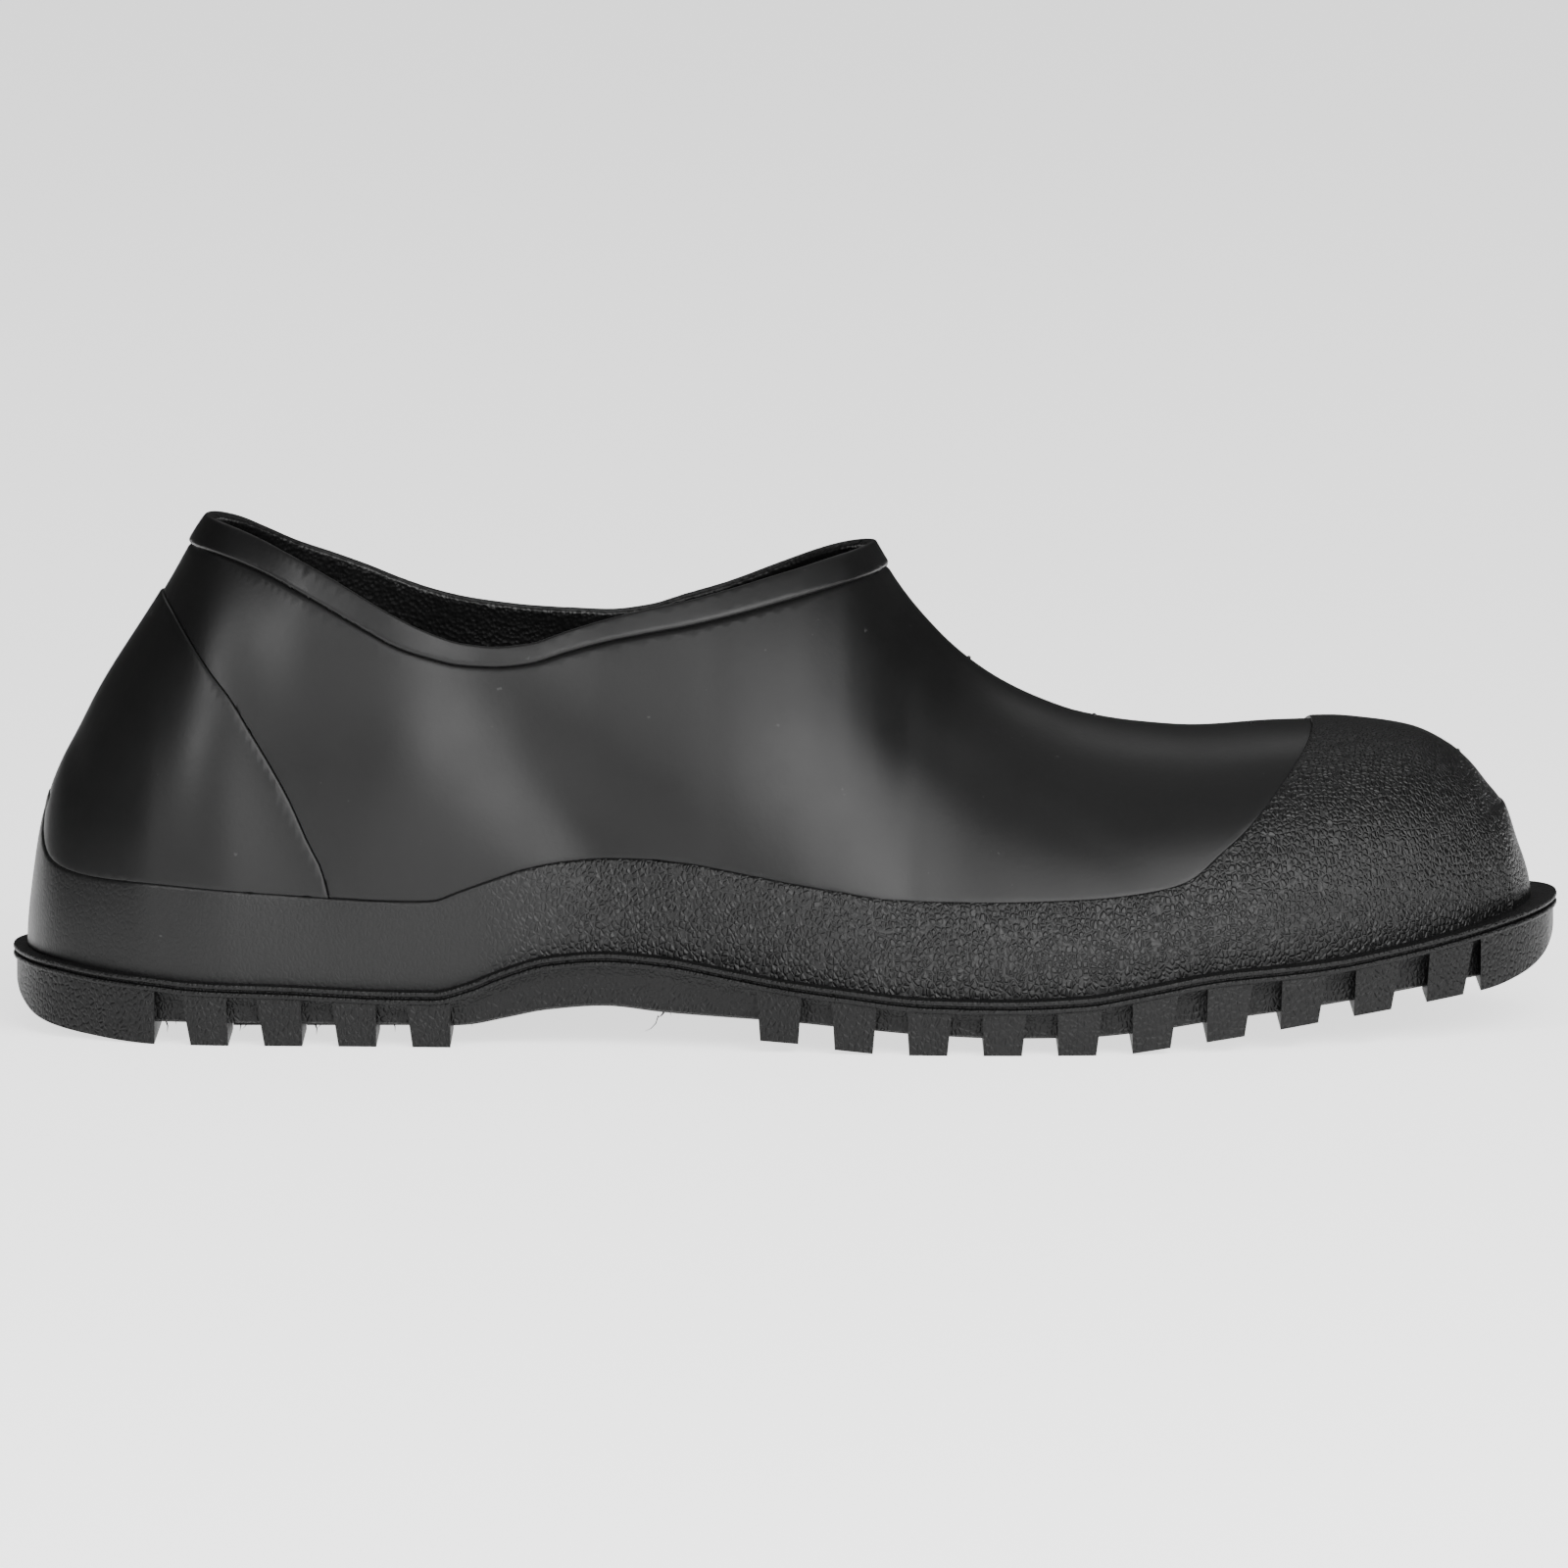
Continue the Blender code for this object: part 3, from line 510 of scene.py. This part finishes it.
def build_skins(materials):
    skin = Skin()
    for name, levels in KNIVES:
        for level in levels:
            skin.knife(name, level)
    remove_above_rim(skin)
    skin.drop_collapsed()
    skin.points = skin.points + skin.normals * (creases(skin.points) * MM)[:, None]
    fields = skin.fields
    inside = np.full(len(skin.points), -WALL / MM)
    in_foxing = skin.face_value("foxing") > 0
    in_band = skin.face_value("band") > 0
    in_counter = (skin.face_value("counter") > 0) & ~in_foxing & ~in_band

    bare = relief(fields["foxing"], BESIDE_FOXING)
    bare = np.minimum(bare, np.where(fields["counter"] <= 0, relief(fields["counter"], BESIDE_COUNTER), 0))
    bare = np.minimum(bare, relief(fields["band"], BELOW_BAND))
    covered = (fields["foxing"] >= 0) | (fields["counter"] >= 0)
    bare = np.where(covered & (fields["band"] <= 0), UNDER_OVERLAY, bare)
    pieces = {}
    points, faces = closed_piece(skin, skin.triangles[~in_band], bare, inside)
    inner_from = len(points) // 2
    points, faces = with_extras(points, faces, pips_between(0.0, CAP_START))
    pieces["overshoe_upper"] = mesh_piece("overshoe_upper", points, faces, materials["upper"], inner_from)

    raised = relief(fields["foxing"], FOXING_STEP) + relief(fields["bumper"], BUMPER_STEP)
    back = np.full(len(skin.points), OVERLAY_BACK)
    points, faces = closed_piece(skin, skin.triangles[in_foxing], raised, back)
    points, faces = with_extras(points, faces, pips_between(CAP_START, LENGTH))
    pieces["foxing_and_toe_cap"] = mesh_piece("foxing_and_toe_cap", points, faces, materials["foxing"])

    dip = relief(fields["foxing"], BESIDE_FOXING) * COUNTER_DIP_SHARE
    raised = np.minimum(relief(fields["counter"], COUNTER_STEP), COUNTER_PROUD + dip)
    raised = np.minimum(raised, COUNTER_PROUD + relief(fields["band"], BELOW_BAND))
    points, faces = closed_piece(skin, skin.triangles[in_counter], raised, back)
    pieces["heel_counter_panel"] = mesh_piece("heel_counter_panel", points, faces, materials["counter"])

    past = np.clip(LIP_ROUND + fields["rim"], 0, LIP_ROUND)
    drawn_in = LIP_ROUND - np.sqrt(LIP_ROUND ** 2 - past ** 2)
    outer = relief(fields["band"], BAND_STEP) - drawn_in
    inner = inside + drawn_in
    points, faces = closed_piece(skin, skin.triangles[in_band], outer, inner)
    pieces["collar_rim"] = mesh_piece("collar_rim", points, faces, materials["collar"], len(points) // 2)
    return pieces


# Soft troughs and lobes of the moulded wall, seen from the side: place and reach along and up, turn in
# degrees, depth in millimetres, and the side of the shoe (-1 outer, 1 inner, 0 both)
CREASES = (
    ("ankle_lobe", 0.088, 0.060, 0.024, 0.020, 40, 1.5, 0),
    ("waist_hollow", 0.114, 0.050, 0.032, 0.012, -47, -2.6, 0),
    ("counter_dip", 0.060, 0.046, 0.010, 0.022, 10, -0.6, 0),
    ("heel_lobe", 0.034, 0.058, 0.012, 0.026, 15, 0.6, 0),
    ("instep_lobe", 0.152, 0.062, 0.016, 0.022, -20, 0.9, 0),
    ("vamp_fold", 0.192, 0.062, 0.024, 0.007, -38, -0.6, 0),
    ("vamp_crease", 0.214, 0.048, 0.020, 0.004, -30, -0.35, 0),
    ("collar_sag", 0.096, 0.074, 0.022, 0.006, -8, -0.4, -1),
)
SIDE_FADE = 0.006


def creases(points):
    total = np.zeros(len(points))
    for _, x, z, reach_x, reach_z, turn, depth, side in CREASES:
        angle = math.radians(turn)
        dx, dz = points[:, 0] - x, points[:, 2] - z
        u = dx * math.cos(angle) + dz * math.sin(angle)
        v = -dx * math.sin(angle) + dz * math.cos(angle)
        dent = depth * np.exp(-(u / reach_x) ** 2 - (v / reach_z) ** 2)
        if side:
            dent = dent / (1 + np.exp(-side * points[:, 1] / SIDE_FADE))
        total += dent
    return total


# Small leftovers of moulding: pips on the centre line (place along, radius), and slivers and threads of
# flash at the lugs (start, tip, thickness), in millimetres of the side view; y is across the shoe
PIPS = ((0.1990, 0.45), (0.2251, 0.50), (0.2578, 0.45), (0.3011, 0.55))
FLASH = (
    ((32.0, -35, 5.6), (33.4, -35, 2.0), 0.5), ((33.5, -34, 5.8), (35.2, -34, 3.4), 0.4),
    ((30.8, -33, 2.4), (29.6, -33, 0.7), 0.4), ((47.5, -36, 5.6), (48.4, -36, 2.3), 0.5),
    ((49.8, -35, 5.2), (48.9, -35, 2.6), 0.3), ((62.8, -36, 5.0), (64.2, -36, 1.6), 0.5),
    ((65.4, -36, 5.2), (64.4, -36, 3.0), 0.3), ((79.0, -36, 5.0), (80.4, -36, 2.2), 0.4),
    ((94.2, -34, 4.8), (96.3, -34, 2.9), 0.3), ((136.0, -45, 8.2), (134.6, -45, 6.3), 0.5),
    ((134.7, -45, 6.7), (131.8, -45, 3.4), 0.24), ((135.9, -45, 8.2), (137.4, -45, 6.6), 0.3),
    ((281.0, -36, 11.0), (281.5, -36, 7.6), 0.4), ((283.4, -36, 11.4), (283.0, -36, 8.6), 0.3),
    ((296.2, -28, 12.6), (297.1, -28, 9.6), 0.45), ((299.6, -28, 12.9), (300.4, -28, 10.4), 0.4),
    ((304.0, -20, 13.6), (305.2, -20, 11.2), 0.35),
)
# A sliver's width at shares of its length, and its bend as a share of its length
SLIVER_TAPER = ((0.0, 1.0), (0.35, 0.8), (0.7, 0.5), (1.0, 0.15))
SLIVER_BEND = 0.18


def ball(centre, radius, rings=6, around=10):
    """A small closed ball as points and triangles."""
    points = [centre + (0, 0, radius)]
    for i in range(1, rings):
        polar = math.pi * i / rings
        for j in range(around):
            turn = 2 * math.pi * j / around
            points.append(centre + radius * np.array([math.sin(polar) * math.cos(turn),
                                                      math.sin(polar) * math.sin(turn), math.cos(polar)]))
    points.append(centre - (0, 0, radius))
    last = len(points) - 1
    faces = []
    for j in range(around):
        k = (j + 1) % around
        faces.append((0, 1 + j, 1 + k))
        faces.append((last, last - around + k, last - around + j))
        for i in range(rings - 2):
            a, b = 1 + i * around, 1 + (i + 1) * around
            faces += [(a + j, b + j, b + k), (a + j, b + k, a + k)]
    return np.array(points), np.array(faces)


def sliver(start, tip, thickness):
    """A tapering thread of rubber with a slight bend, closed at both ends."""
    start, tip = np.array(start) * MM, np.array(tip) * MM
    along = tip - start
    side = np.cross(along, (0, 1, 0))
    side /= np.linalg.norm(side)
    bend = SLIVER_BEND * np.linalg.norm(along)
    points = []
    for share, width in SLIVER_TAPER:
        middle = start + along * share + side * math.sin(math.pi * share) * bend
        half = thickness * width * MM / 2
        for a, b in ((1, 0), (0, 1), (-1, 0), (0, -1)):
            points.append(middle + side * half * a + np.array((0, half * b, 0)))
    faces = [(0, 1, 2), (0, 2, 3), (12, 14, 13), (12, 15, 14)]
    for i in range(3):
        for j in range(4):
            a, b, c, d = 4 * i + j, 4 * i + (j + 1) % 4, 4 * i + 4 + (j + 1) % 4, 4 * i + 4 + j
            faces += [(a, d, c), (a, c, b)]
    return np.array(points), np.array(faces)


def with_extras(points, faces, extras):
    for more_points, more_faces in extras:
        faces = np.concatenate([faces, more_faces + len(points)])
        points = np.concatenate([points, more_points])
    return points, faces


def pips_between(start, end):
    made = []
    for x, radius in PIPS:
        if start <= x < end:
            turn = float(turn_of(x / LENGTH))
            y = float(plan_centre(turn) + crest_lean(turn))
            proud = PIP_PROUD if x > CAP_START else 0.0
            made.append(ball(np.array([x, y, float(crest_height(turn)) + proud * MM]), radius * MM))
    return made


# The sole's edge from the seat down: how far in from the flange's edge, and how far below the seat, in mm
SOLE_EDGE = (
    (0.40, 0.00), (0.12, 0.12), (0.00, 0.40), (0.00, 0.75), (0.12, 0.98), (0.45, 1.10), (1.00, 1.22),
    (1.00, 1.50), (0.45, 1.62), (0.12, 1.74), (0.00, 2.00), (0.00, 2.35), (0.15, 2.60), (0.60, 2.75),
    (1.30, 2.85), (2.60, 4.30), (3.00, 5.00),
)
# The round turn to the underside: how far in, and how far above the underside, in mm
UNDER_TURN = ((3.05, 0.5), (3.60, 0.0))
LEAST_LIFT = 0.6
# How far below the seat the lugs and the end blocks start inside the sole, in mm
LUG_ROOT = 2.4
BLOCK_ROOT = 2.3
BLOCK_STATIONS = 40
# Height that the form which trims the lugs covers, in metres
LIMIT_LOW, LIMIT_HIGH = -0.01, 0.05


def loft_faces(sections, count):
    faces = [tuple(reversed(range(count)))]
    for i in range(sections - 1):
        for j in range(count):
            k = (j + 1) % count
            faces.append((i * count + j, i * count + k, (i + 1) * count + k, (i + 1) * count + j))
    last = (sections - 1) * count
    faces.append(tuple(range(last, last + count)))
    return faces


def sole_body(material):
    turns = np.linspace(SOLE_POLE, math.pi - SOLE_POLE, SOLE_STEPS + 1)
    near, far = [], []
    for inset, depth in SOLE_EDGE:
        edges = outline(inset * MM, turns)
        for store, edge in ((near, edges[0]), (far, edges[1])):
            x = edge[:, 0]
            z = np.maximum(seat_at(x) - depth * MM, under_at(x) + LEAST_LIFT * MM)
            store.append(np.column_stack([edge, z]))
    for inset, lift in UNDER_TURN:
        edges = outline(inset * MM, turns)
        for store, edge in ((near, edges[0]), (far, edges[1])):
            store.append(np.column_stack([edge, under_at(edge[:, 0]) + lift * MM]))
    section = np.stack(near[::-1] + far, axis=1)
    count = section.shape[1]
    points = section.reshape(-1, 3)
    return mesh_piece("outsole_tread", points, loft_faces(len(section), count), material)


def lug_outline(centre, width):
    fan = LUG_FAN * (2 * centre / LENGTH - 1)
    line = []
    for x, side in ((centre - width / 2, -1), (centre + width / 2, 1)):
        z = float(tread_at(x))
        top = float(seat_at(x)) - LUG_ROOT * MM
        shift = (top - z) * math.tan(side * LUG_DRAFT + fan)
        line.append(((x, z), (x + shift, top)))
    (heel_low, heel_top), (toe_low, toe_top) = line
    return [heel_low, heel_top, toe_top, toe_low]


def end_block_outline(start, end):
    x = np.linspace(start, end, BLOCK_STATIONS)
    low = [(float(v), float(tread_at(v))) for v in x]
    top = [(float(v), float(seat_at(v)) - BLOCK_ROOT * MM) for v in x]
    return low + top[::-1]


def lug_blocks(material):
    blocks = []
    reach = CENTRE_LUG_SPAN / 2 + CENTRE_CHANNEL
    for first, count in ((FIRST_HEEL_LUG, HEEL_LUGS), (FIRST_FORE_LUG, FORE_LUGS)):
        for k in range(count):
            centre = first * LENGTH + k * LUG_PITCH
            line = lug_outline(centre, LUG_WIDTH)
            blocks.append((line, -FAR, -reach))
            blocks.append((line, reach, FAR))
            if k < count - 1:
                between = lug_outline(centre + LUG_PITCH / 2, LUG_WIDTH)
                blocks.append((between, -CENTRE_LUG_SPAN / 2, CENTRE_LUG_SPAN / 2))
    blocks.append((end_block_outline(0.0, HEEL_BLOCK_END * LENGTH), -FAR, FAR))
    blocks.append((end_block_outline(TOE_BLOCK_START * LENGTH, LENGTH), -FAR, FAR))
    points, faces = [], []
    for line, near, far in blocks:
        base = len(points)
        count = len(line)
        points += [(x, near, z) for x, z in line] + [(x, far, z) for x, z in line]
        faces.append(tuple(base + j for j in range(count)))
        faces.append(tuple(base + count + j for j in reversed(range(count))))
        for j in range(count):
            k = (j + 1) % count
            faces.append((base + k, base + j, base + count + j, base + count + k))
    return mesh_piece("lug_blocks", np.array(points), faces, material)


def lug_limit(material):
    turns = np.linspace(SOLE_POLE, math.pi - SOLE_POLE, SOLE_STEPS + 1)
    near, far = outline(LUG_SETBACK, turns)
    sections = []
    for a, b in zip(near, far):
        sections.append([(*a, LIMIT_LOW), (*a, LIMIT_HIGH), (*b, LIMIT_HIGH), (*b, LIMIT_LOW)])
    points = np.array(sections).reshape(-1, 3)
    return mesh_piece("lug_limit", points, loft_faces(len(sections), 4), material)


def apply_boolean(obj, operation, tool):
    step = obj.modifiers.new(operation, "BOOLEAN")
    step.operation = operation
    step.object = tool
    step.solver = "MANIFOLD"
    graph = bpy.context.evaluated_depsgraph_get()
    made = bpy.data.meshes.new_from_object(obj.evaluated_get(graph))
    obj.modifiers.clear()
    old = obj.data
    obj.data = made
    bpy.data.meshes.remove(old)
    bpy.data.objects.remove(tool, do_unlink=True)


def build_sole(material):
    sole = sole_body(material)
    lugs = lug_blocks(material)
    apply_boolean(lugs, "INTERSECT", lug_limit(material))
    apply_boolean(sole, "UNION", lugs)
    slivers = [sliver(*place) for place in FLASH]
    points, faces = with_extras(np.zeros((0, 3)), np.zeros((0, 3), int), slivers)
    flash = mesh_piece("flash", points, faces, material)
    joined = bmesh.new()
    joined.from_mesh(sole.data)
    joined.from_mesh(flash.data)
    joined.to_mesh(sole.data)
    joined.free()
    bpy.data.objects.remove(flash, do_unlink=True)
    sole.data.name = "outsole_tread"
    sole.data.shade_smooth()
    sole.data.set_sharp_from_angle(angle=SOLE_CORNER)
    return sole


class Nodes:
    """Short words for a material's node tree."""

    def __init__(self, name):
        self.material = bpy.data.materials.new(name)
        self.material.use_nodes = True
        self.tree = self.material.node_tree
        self.shader = self.tree.nodes["Principled BSDF"]

    def add(self, kind, **values):
        node = self.tree.nodes.new(kind)
        for key, value in values.items():
            if key in node.inputs:
                node.inputs[key].default_value = value
            else:
                setattr(node, key.lower(), value)
        return node

    def link(self, source, target):
        self.tree.links.new(source, target)

    def object_place(self):
        return self.add("ShaderNodeTexCoord").outputs["Object"]

    def noise(self, place, scale, detail=3.0, roughness=0.5):
        node = self.add("ShaderNodeTexNoise", Scale=scale, Detail=detail, Roughness=roughness)
        self.link(place, node.inputs["Vector"])
        return node.outputs["Fac"]

    def ramp(self, source, low, high, start, end, smooth=False):
        node = self.add("ShaderNodeMapRange")
        node.interpolation_type = "SMOOTHSTEP" if smooth else "LINEAR"
        for key, value in (("From Min", low), ("From Max", high), ("To Min", start), ("To Max", end)):
            node.inputs[key].default_value = value
        self.link(source, node.inputs["Value"])
        return node.outputs["Result"]

    def maths(self, operation, first, second):
        node = self.add("ShaderNodeMath")
        node.operation = operation
        for socket, value in zip(node.inputs, (first, second)):
            if isinstance(value, (int, float)):
                socket.default_value = value
            else:
                self.link(value, socket)
        return node.outputs["Value"]

    def bump(self, height, distance, strength=1.0, after=None):
        node = self.add("ShaderNodeBump", Strength=strength, Distance=distance)
        self.link(height, node.inputs["Height"])
        if after:
            self.link(after, node.inputs["Normal"])
        return node.outputs["Normal"]


# Cloudy tone of the rubber: place on the ramp, and shares of the shade for red and green, and for blue
CLOUD = ((0.30, 0.82, 0.84), (0.75, 1.20, 1.22))
# Depth of the pits inside, and how far the pebble grain is warped, flattened, and let in along the shoe
PIT_DEPTH = 0.00018
GRAIN_WARP = 0.0007
GRAIN_FLATTEN = 0.72
GRAIN_FADE = 0.024


def rubber(name, shade, roughness, spread, shine=0.30, grain=0.0, skin=0.00004, pitted=False,
           grain_from=-1.0):
    """Moulded black rubber: cloudy tone, painted glint specks, satin or matte gloss, fine skin, pits
    inside, and pebble grain.
    """
    nodes = Nodes(name)
    place = nodes.object_place()
    cloud = nodes.noise(place, 26.0, 4.0, 0.55)
    tone = nodes.add("ShaderNodeValToRGB")
    for stop, (position, grey, blue) in zip(tone.color_ramp.elements, CLOUD):
        stop.position = position
        stop.color = (shade * grey, shade * grey, shade * blue, 1)
    nodes.link(cloud, tone.inputs["Fac"])
    # Bright specks painted into the base colour: painted glints of the pebble grain
    painted_glints = nodes.ramp(nodes.noise(place, 330.0, 2.0, 0.7), 0.735, 0.775, 0.0, PAINTED_GLINT)
    with_painted_glints = nodes.add("ShaderNodeVectorMath")
    with_painted_glints.operation = "ADD"
    nodes.link(tone.outputs["Color"], with_painted_glints.inputs[0])
    nodes.link(painted_glints, with_painted_glints.inputs[1])
    nodes.link(with_painted_glints.outputs["Vector"], nodes.shader.inputs["Base Color"])
    fine = nodes.noise(place, 900.0, 3.0, 0.6)
    gloss = nodes.ramp(nodes.noise(place, 60.0, 4.0, 0.6), 0.3, 0.7, roughness - spread, roughness + spread)
    nodes.link(gloss, nodes.shader.inputs["Roughness"])
    nodes.shader.inputs["Specular IOR Level"].default_value = shine
    normal = nodes.bump(fine, skin, 0.5)
    if pitted:
        inside = nodes.add("ShaderNodeAttribute")
        inside.attribute_name = "inside"
        knit = nodes.add("ShaderNodeTexVoronoi", Scale=1100.0)
        nodes.link(place, knit.inputs["Vector"])
        pits = nodes.maths("MULTIPLY", knit.outputs["Distance"], inside.outputs["Fac"])
        normal = nodes.bump(pits, PIT_DEPTH, 1.0, normal)
    if grain:
        warp = nodes.add("ShaderNodeVectorMath")
        warp.operation = "MULTIPLY_ADD"
        wobble = nodes.add("ShaderNodeTexNoise", Scale=260.0, Detail=2.0)
        nodes.link(place, wobble.inputs["Vector"])
        nodes.link(wobble.outputs["Color"], warp.inputs[0])
        warp.inputs[1].default_value = (GRAIN_WARP,) * 3
        nodes.link(place, warp.inputs[2])
        stretch = nodes.add("ShaderNodeVectorMath")
        stretch.operation = "MULTIPLY"
        stretch.inputs[1].default_value = (1.0, 1.0, GRAIN_FLATTEN)
        nodes.link(warp.outputs["Vector"], stretch.inputs[0])
        cells = nodes.add("ShaderNodeTexVoronoi", Scale=1000.0)
        cells.feature = "DISTANCE_TO_EDGE"
        nodes.link(stretch.outputs["Vector"], cells.inputs["Vector"])
        pebble = nodes.ramp(cells.outputs["Distance"], 0.0, 0.30, 0.0, 1.0, smooth=True)
        split = nodes.add("ShaderNodeSeparateXYZ")
        nodes.link(place, split.inputs["Vector"])
        reach = nodes.ramp(split.outputs["X"], grain_from, grain_from + GRAIN_FADE, 0.10, 1.0)
        pebble = nodes.maths("MULTIPLY", pebble, reach)
        normal = nodes.bump(pebble, grain, 1.0, normal)
    nodes.link(normal, nodes.shader.inputs["Normal"])
    return nodes.material


# Area lights: name, place, size across and up, and power in watts; all aim at one point of the shoe
LIGHTS = (
    ("key_overhead", (0.00, 0.10, 1.40), 1.8, 1.0, 3.0),
    ("heel_side", (-1.00, -1.30, 0.85), 0.24, 0.6, 12.0),
    ("front_soft", (0.48, -1.80, 0.62), 1.5, 1.0, 32.0),
    ("front_high", (0.55, -1.10, 1.05), 1.3, 0.9, 19.0),
    ("toe_side", (1.35, -0.85, 0.60), 0.5, 0.6, 9.0),
    ("back_wash", (0.00, 1.70, 1.80), 2.2, 0.8, 6.0),
)
AIM = Vector((0, 0, 0.04))
FLOOR_REACH = 8.0
FLOOR_SHADE = 0.93
FLOOR_GLOW = 1.6
# The world's light grows from its front to its back
WORLD_FADE = (("From Min", -0.1), ("From Max", 0.55), ("To Min", 0.2), ("To Max", 0.8))


def floor_and_light():
    mesh = bpy.data.meshes.new("floor")
    corners = [(x * FLOOR_REACH, y * FLOOR_REACH, 0) for x, y in ((-1, -1), (1, -1), (1, 1), (-1, 1))]
    mesh.from_pydata(corners, [], [(0, 1, 2, 3)])
    floor = bpy.data.objects.new("floor", mesh)
    bpy.context.scene.collection.objects.link(floor)
    paint = Nodes("floor_paint")
    paint.shader.inputs["Base Color"].default_value = (FLOOR_SHADE, FLOOR_SHADE, FLOOR_SHADE, 1)
    paint.shader.inputs["Roughness"].default_value = 0.9
    paint.shader.inputs["Emission Color"].default_value = (1, 1, 1, 1)
    paint.shader.inputs["Emission Strength"].default_value = FLOOR_GLOW
    mesh.materials.append(paint.material)

    world = bpy.data.worlds.new("studio")
    world.use_nodes = True
    tree = world.node_tree
    place = tree.nodes.new("ShaderNodeTexCoord")
    split = tree.nodes.new("ShaderNodeSeparateXYZ")
    fade = tree.nodes.new("ShaderNodeMapRange")
    tree.links.new(place.outputs["Generated"], split.inputs["Vector"])
    tree.links.new(split.outputs["Y"], fade.inputs["Value"])
    for key, value in WORLD_FADE:
        fade.inputs[key].default_value = value
    tree.links.new(fade.outputs["Result"], tree.nodes["Background"].inputs["Strength"])
    bpy.context.scene.world = world

    for name, place, size_x, size_y, power in LIGHTS:
        light = bpy.data.lights.new(name, "AREA")
        light.shape = "RECTANGLE"
        light.size = size_x
        light.size_y = size_y
        light.energy = power
        lamp = bpy.data.objects.new(name, light)
        lamp.location = place
        lamp.rotation_euler = (AIM - Vector(place)).to_track_quat("-Z", "Y").to_euler()
        bpy.context.scene.collection.objects.link(lamp)


# The photo's camera: height angle, distance, the point it looks at and the width it sees there, in metres
CAMERA_RISE = math.radians(6.5)
CAMERA_DISTANCE = 3.0
CAMERA_TARGET = Vector((-0.0004, 0.0, 0.0494))
SEEN_WIDTH = 0.3265
SENSOR_MM = 36.0


def add_camera():
    camera = bpy.data.cameras.new("camera")
    camera.sensor_width = SENSOR_MM
    camera.lens = SENSOR_MM * CAMERA_DISTANCE / SEEN_WIDTH
    camera.clip_end = 20.0
    holder = bpy.data.objects.new("camera", camera)
    back = Vector((0, -math.cos(CAMERA_RISE), math.sin(CAMERA_RISE)))
    holder.location = CAMERA_TARGET + back * CAMERA_DISTANCE
    holder.rotation_euler = (-back).to_track_quat("-Z", "Y").to_euler()
    bpy.context.scene.collection.objects.link(holder)
    bpy.context.scene.camera = holder


def main():
    materials = {
        "upper": rubber("satin_upper", 0.0035, 0.40, 0.03, pitted=True),
        "foxing": rubber("grained_foxing", 0.004, 0.42, 0.04, shine=0.32, grain=0.00020, grain_from=-0.064),
        "counter": rubber("satin_counter", 0.0035, 0.40, 0.03),
        "collar": rubber("smooth_collar", 0.004, 0.38, 0.04, pitted=True),
        "outsole": rubber("matte_outsole", 0.003, 0.46, 0.06, shine=0.22, skin=0.00010, grain=0.00012),
    }
    pieces = build_skins(materials)
    pieces["outsole_tread"] = build_sole(materials["outsole"])
    for name, nodes, slot in (
        ("overshoe_upper", ["upper"], "upper_rubber"),
        ("foxing_and_toe_cap", ["foxing_toe_cap"], "foxing_rubber"),
        ("heel_counter_panel", ["heel_counter"], "counter_rubber"),
        ("collar_rim", ["collar_band"], "collar_rubber"),
        ("outsole_tread", ["outsole"], "outsole_rubber"),
    ):
        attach(pieces[name], "root")
        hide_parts(*nodes)
    floor_and_light()
    add_camera()
    for name, piece in pieces.items():
        print(name, len(piece.data.polygons), "faces")


main()
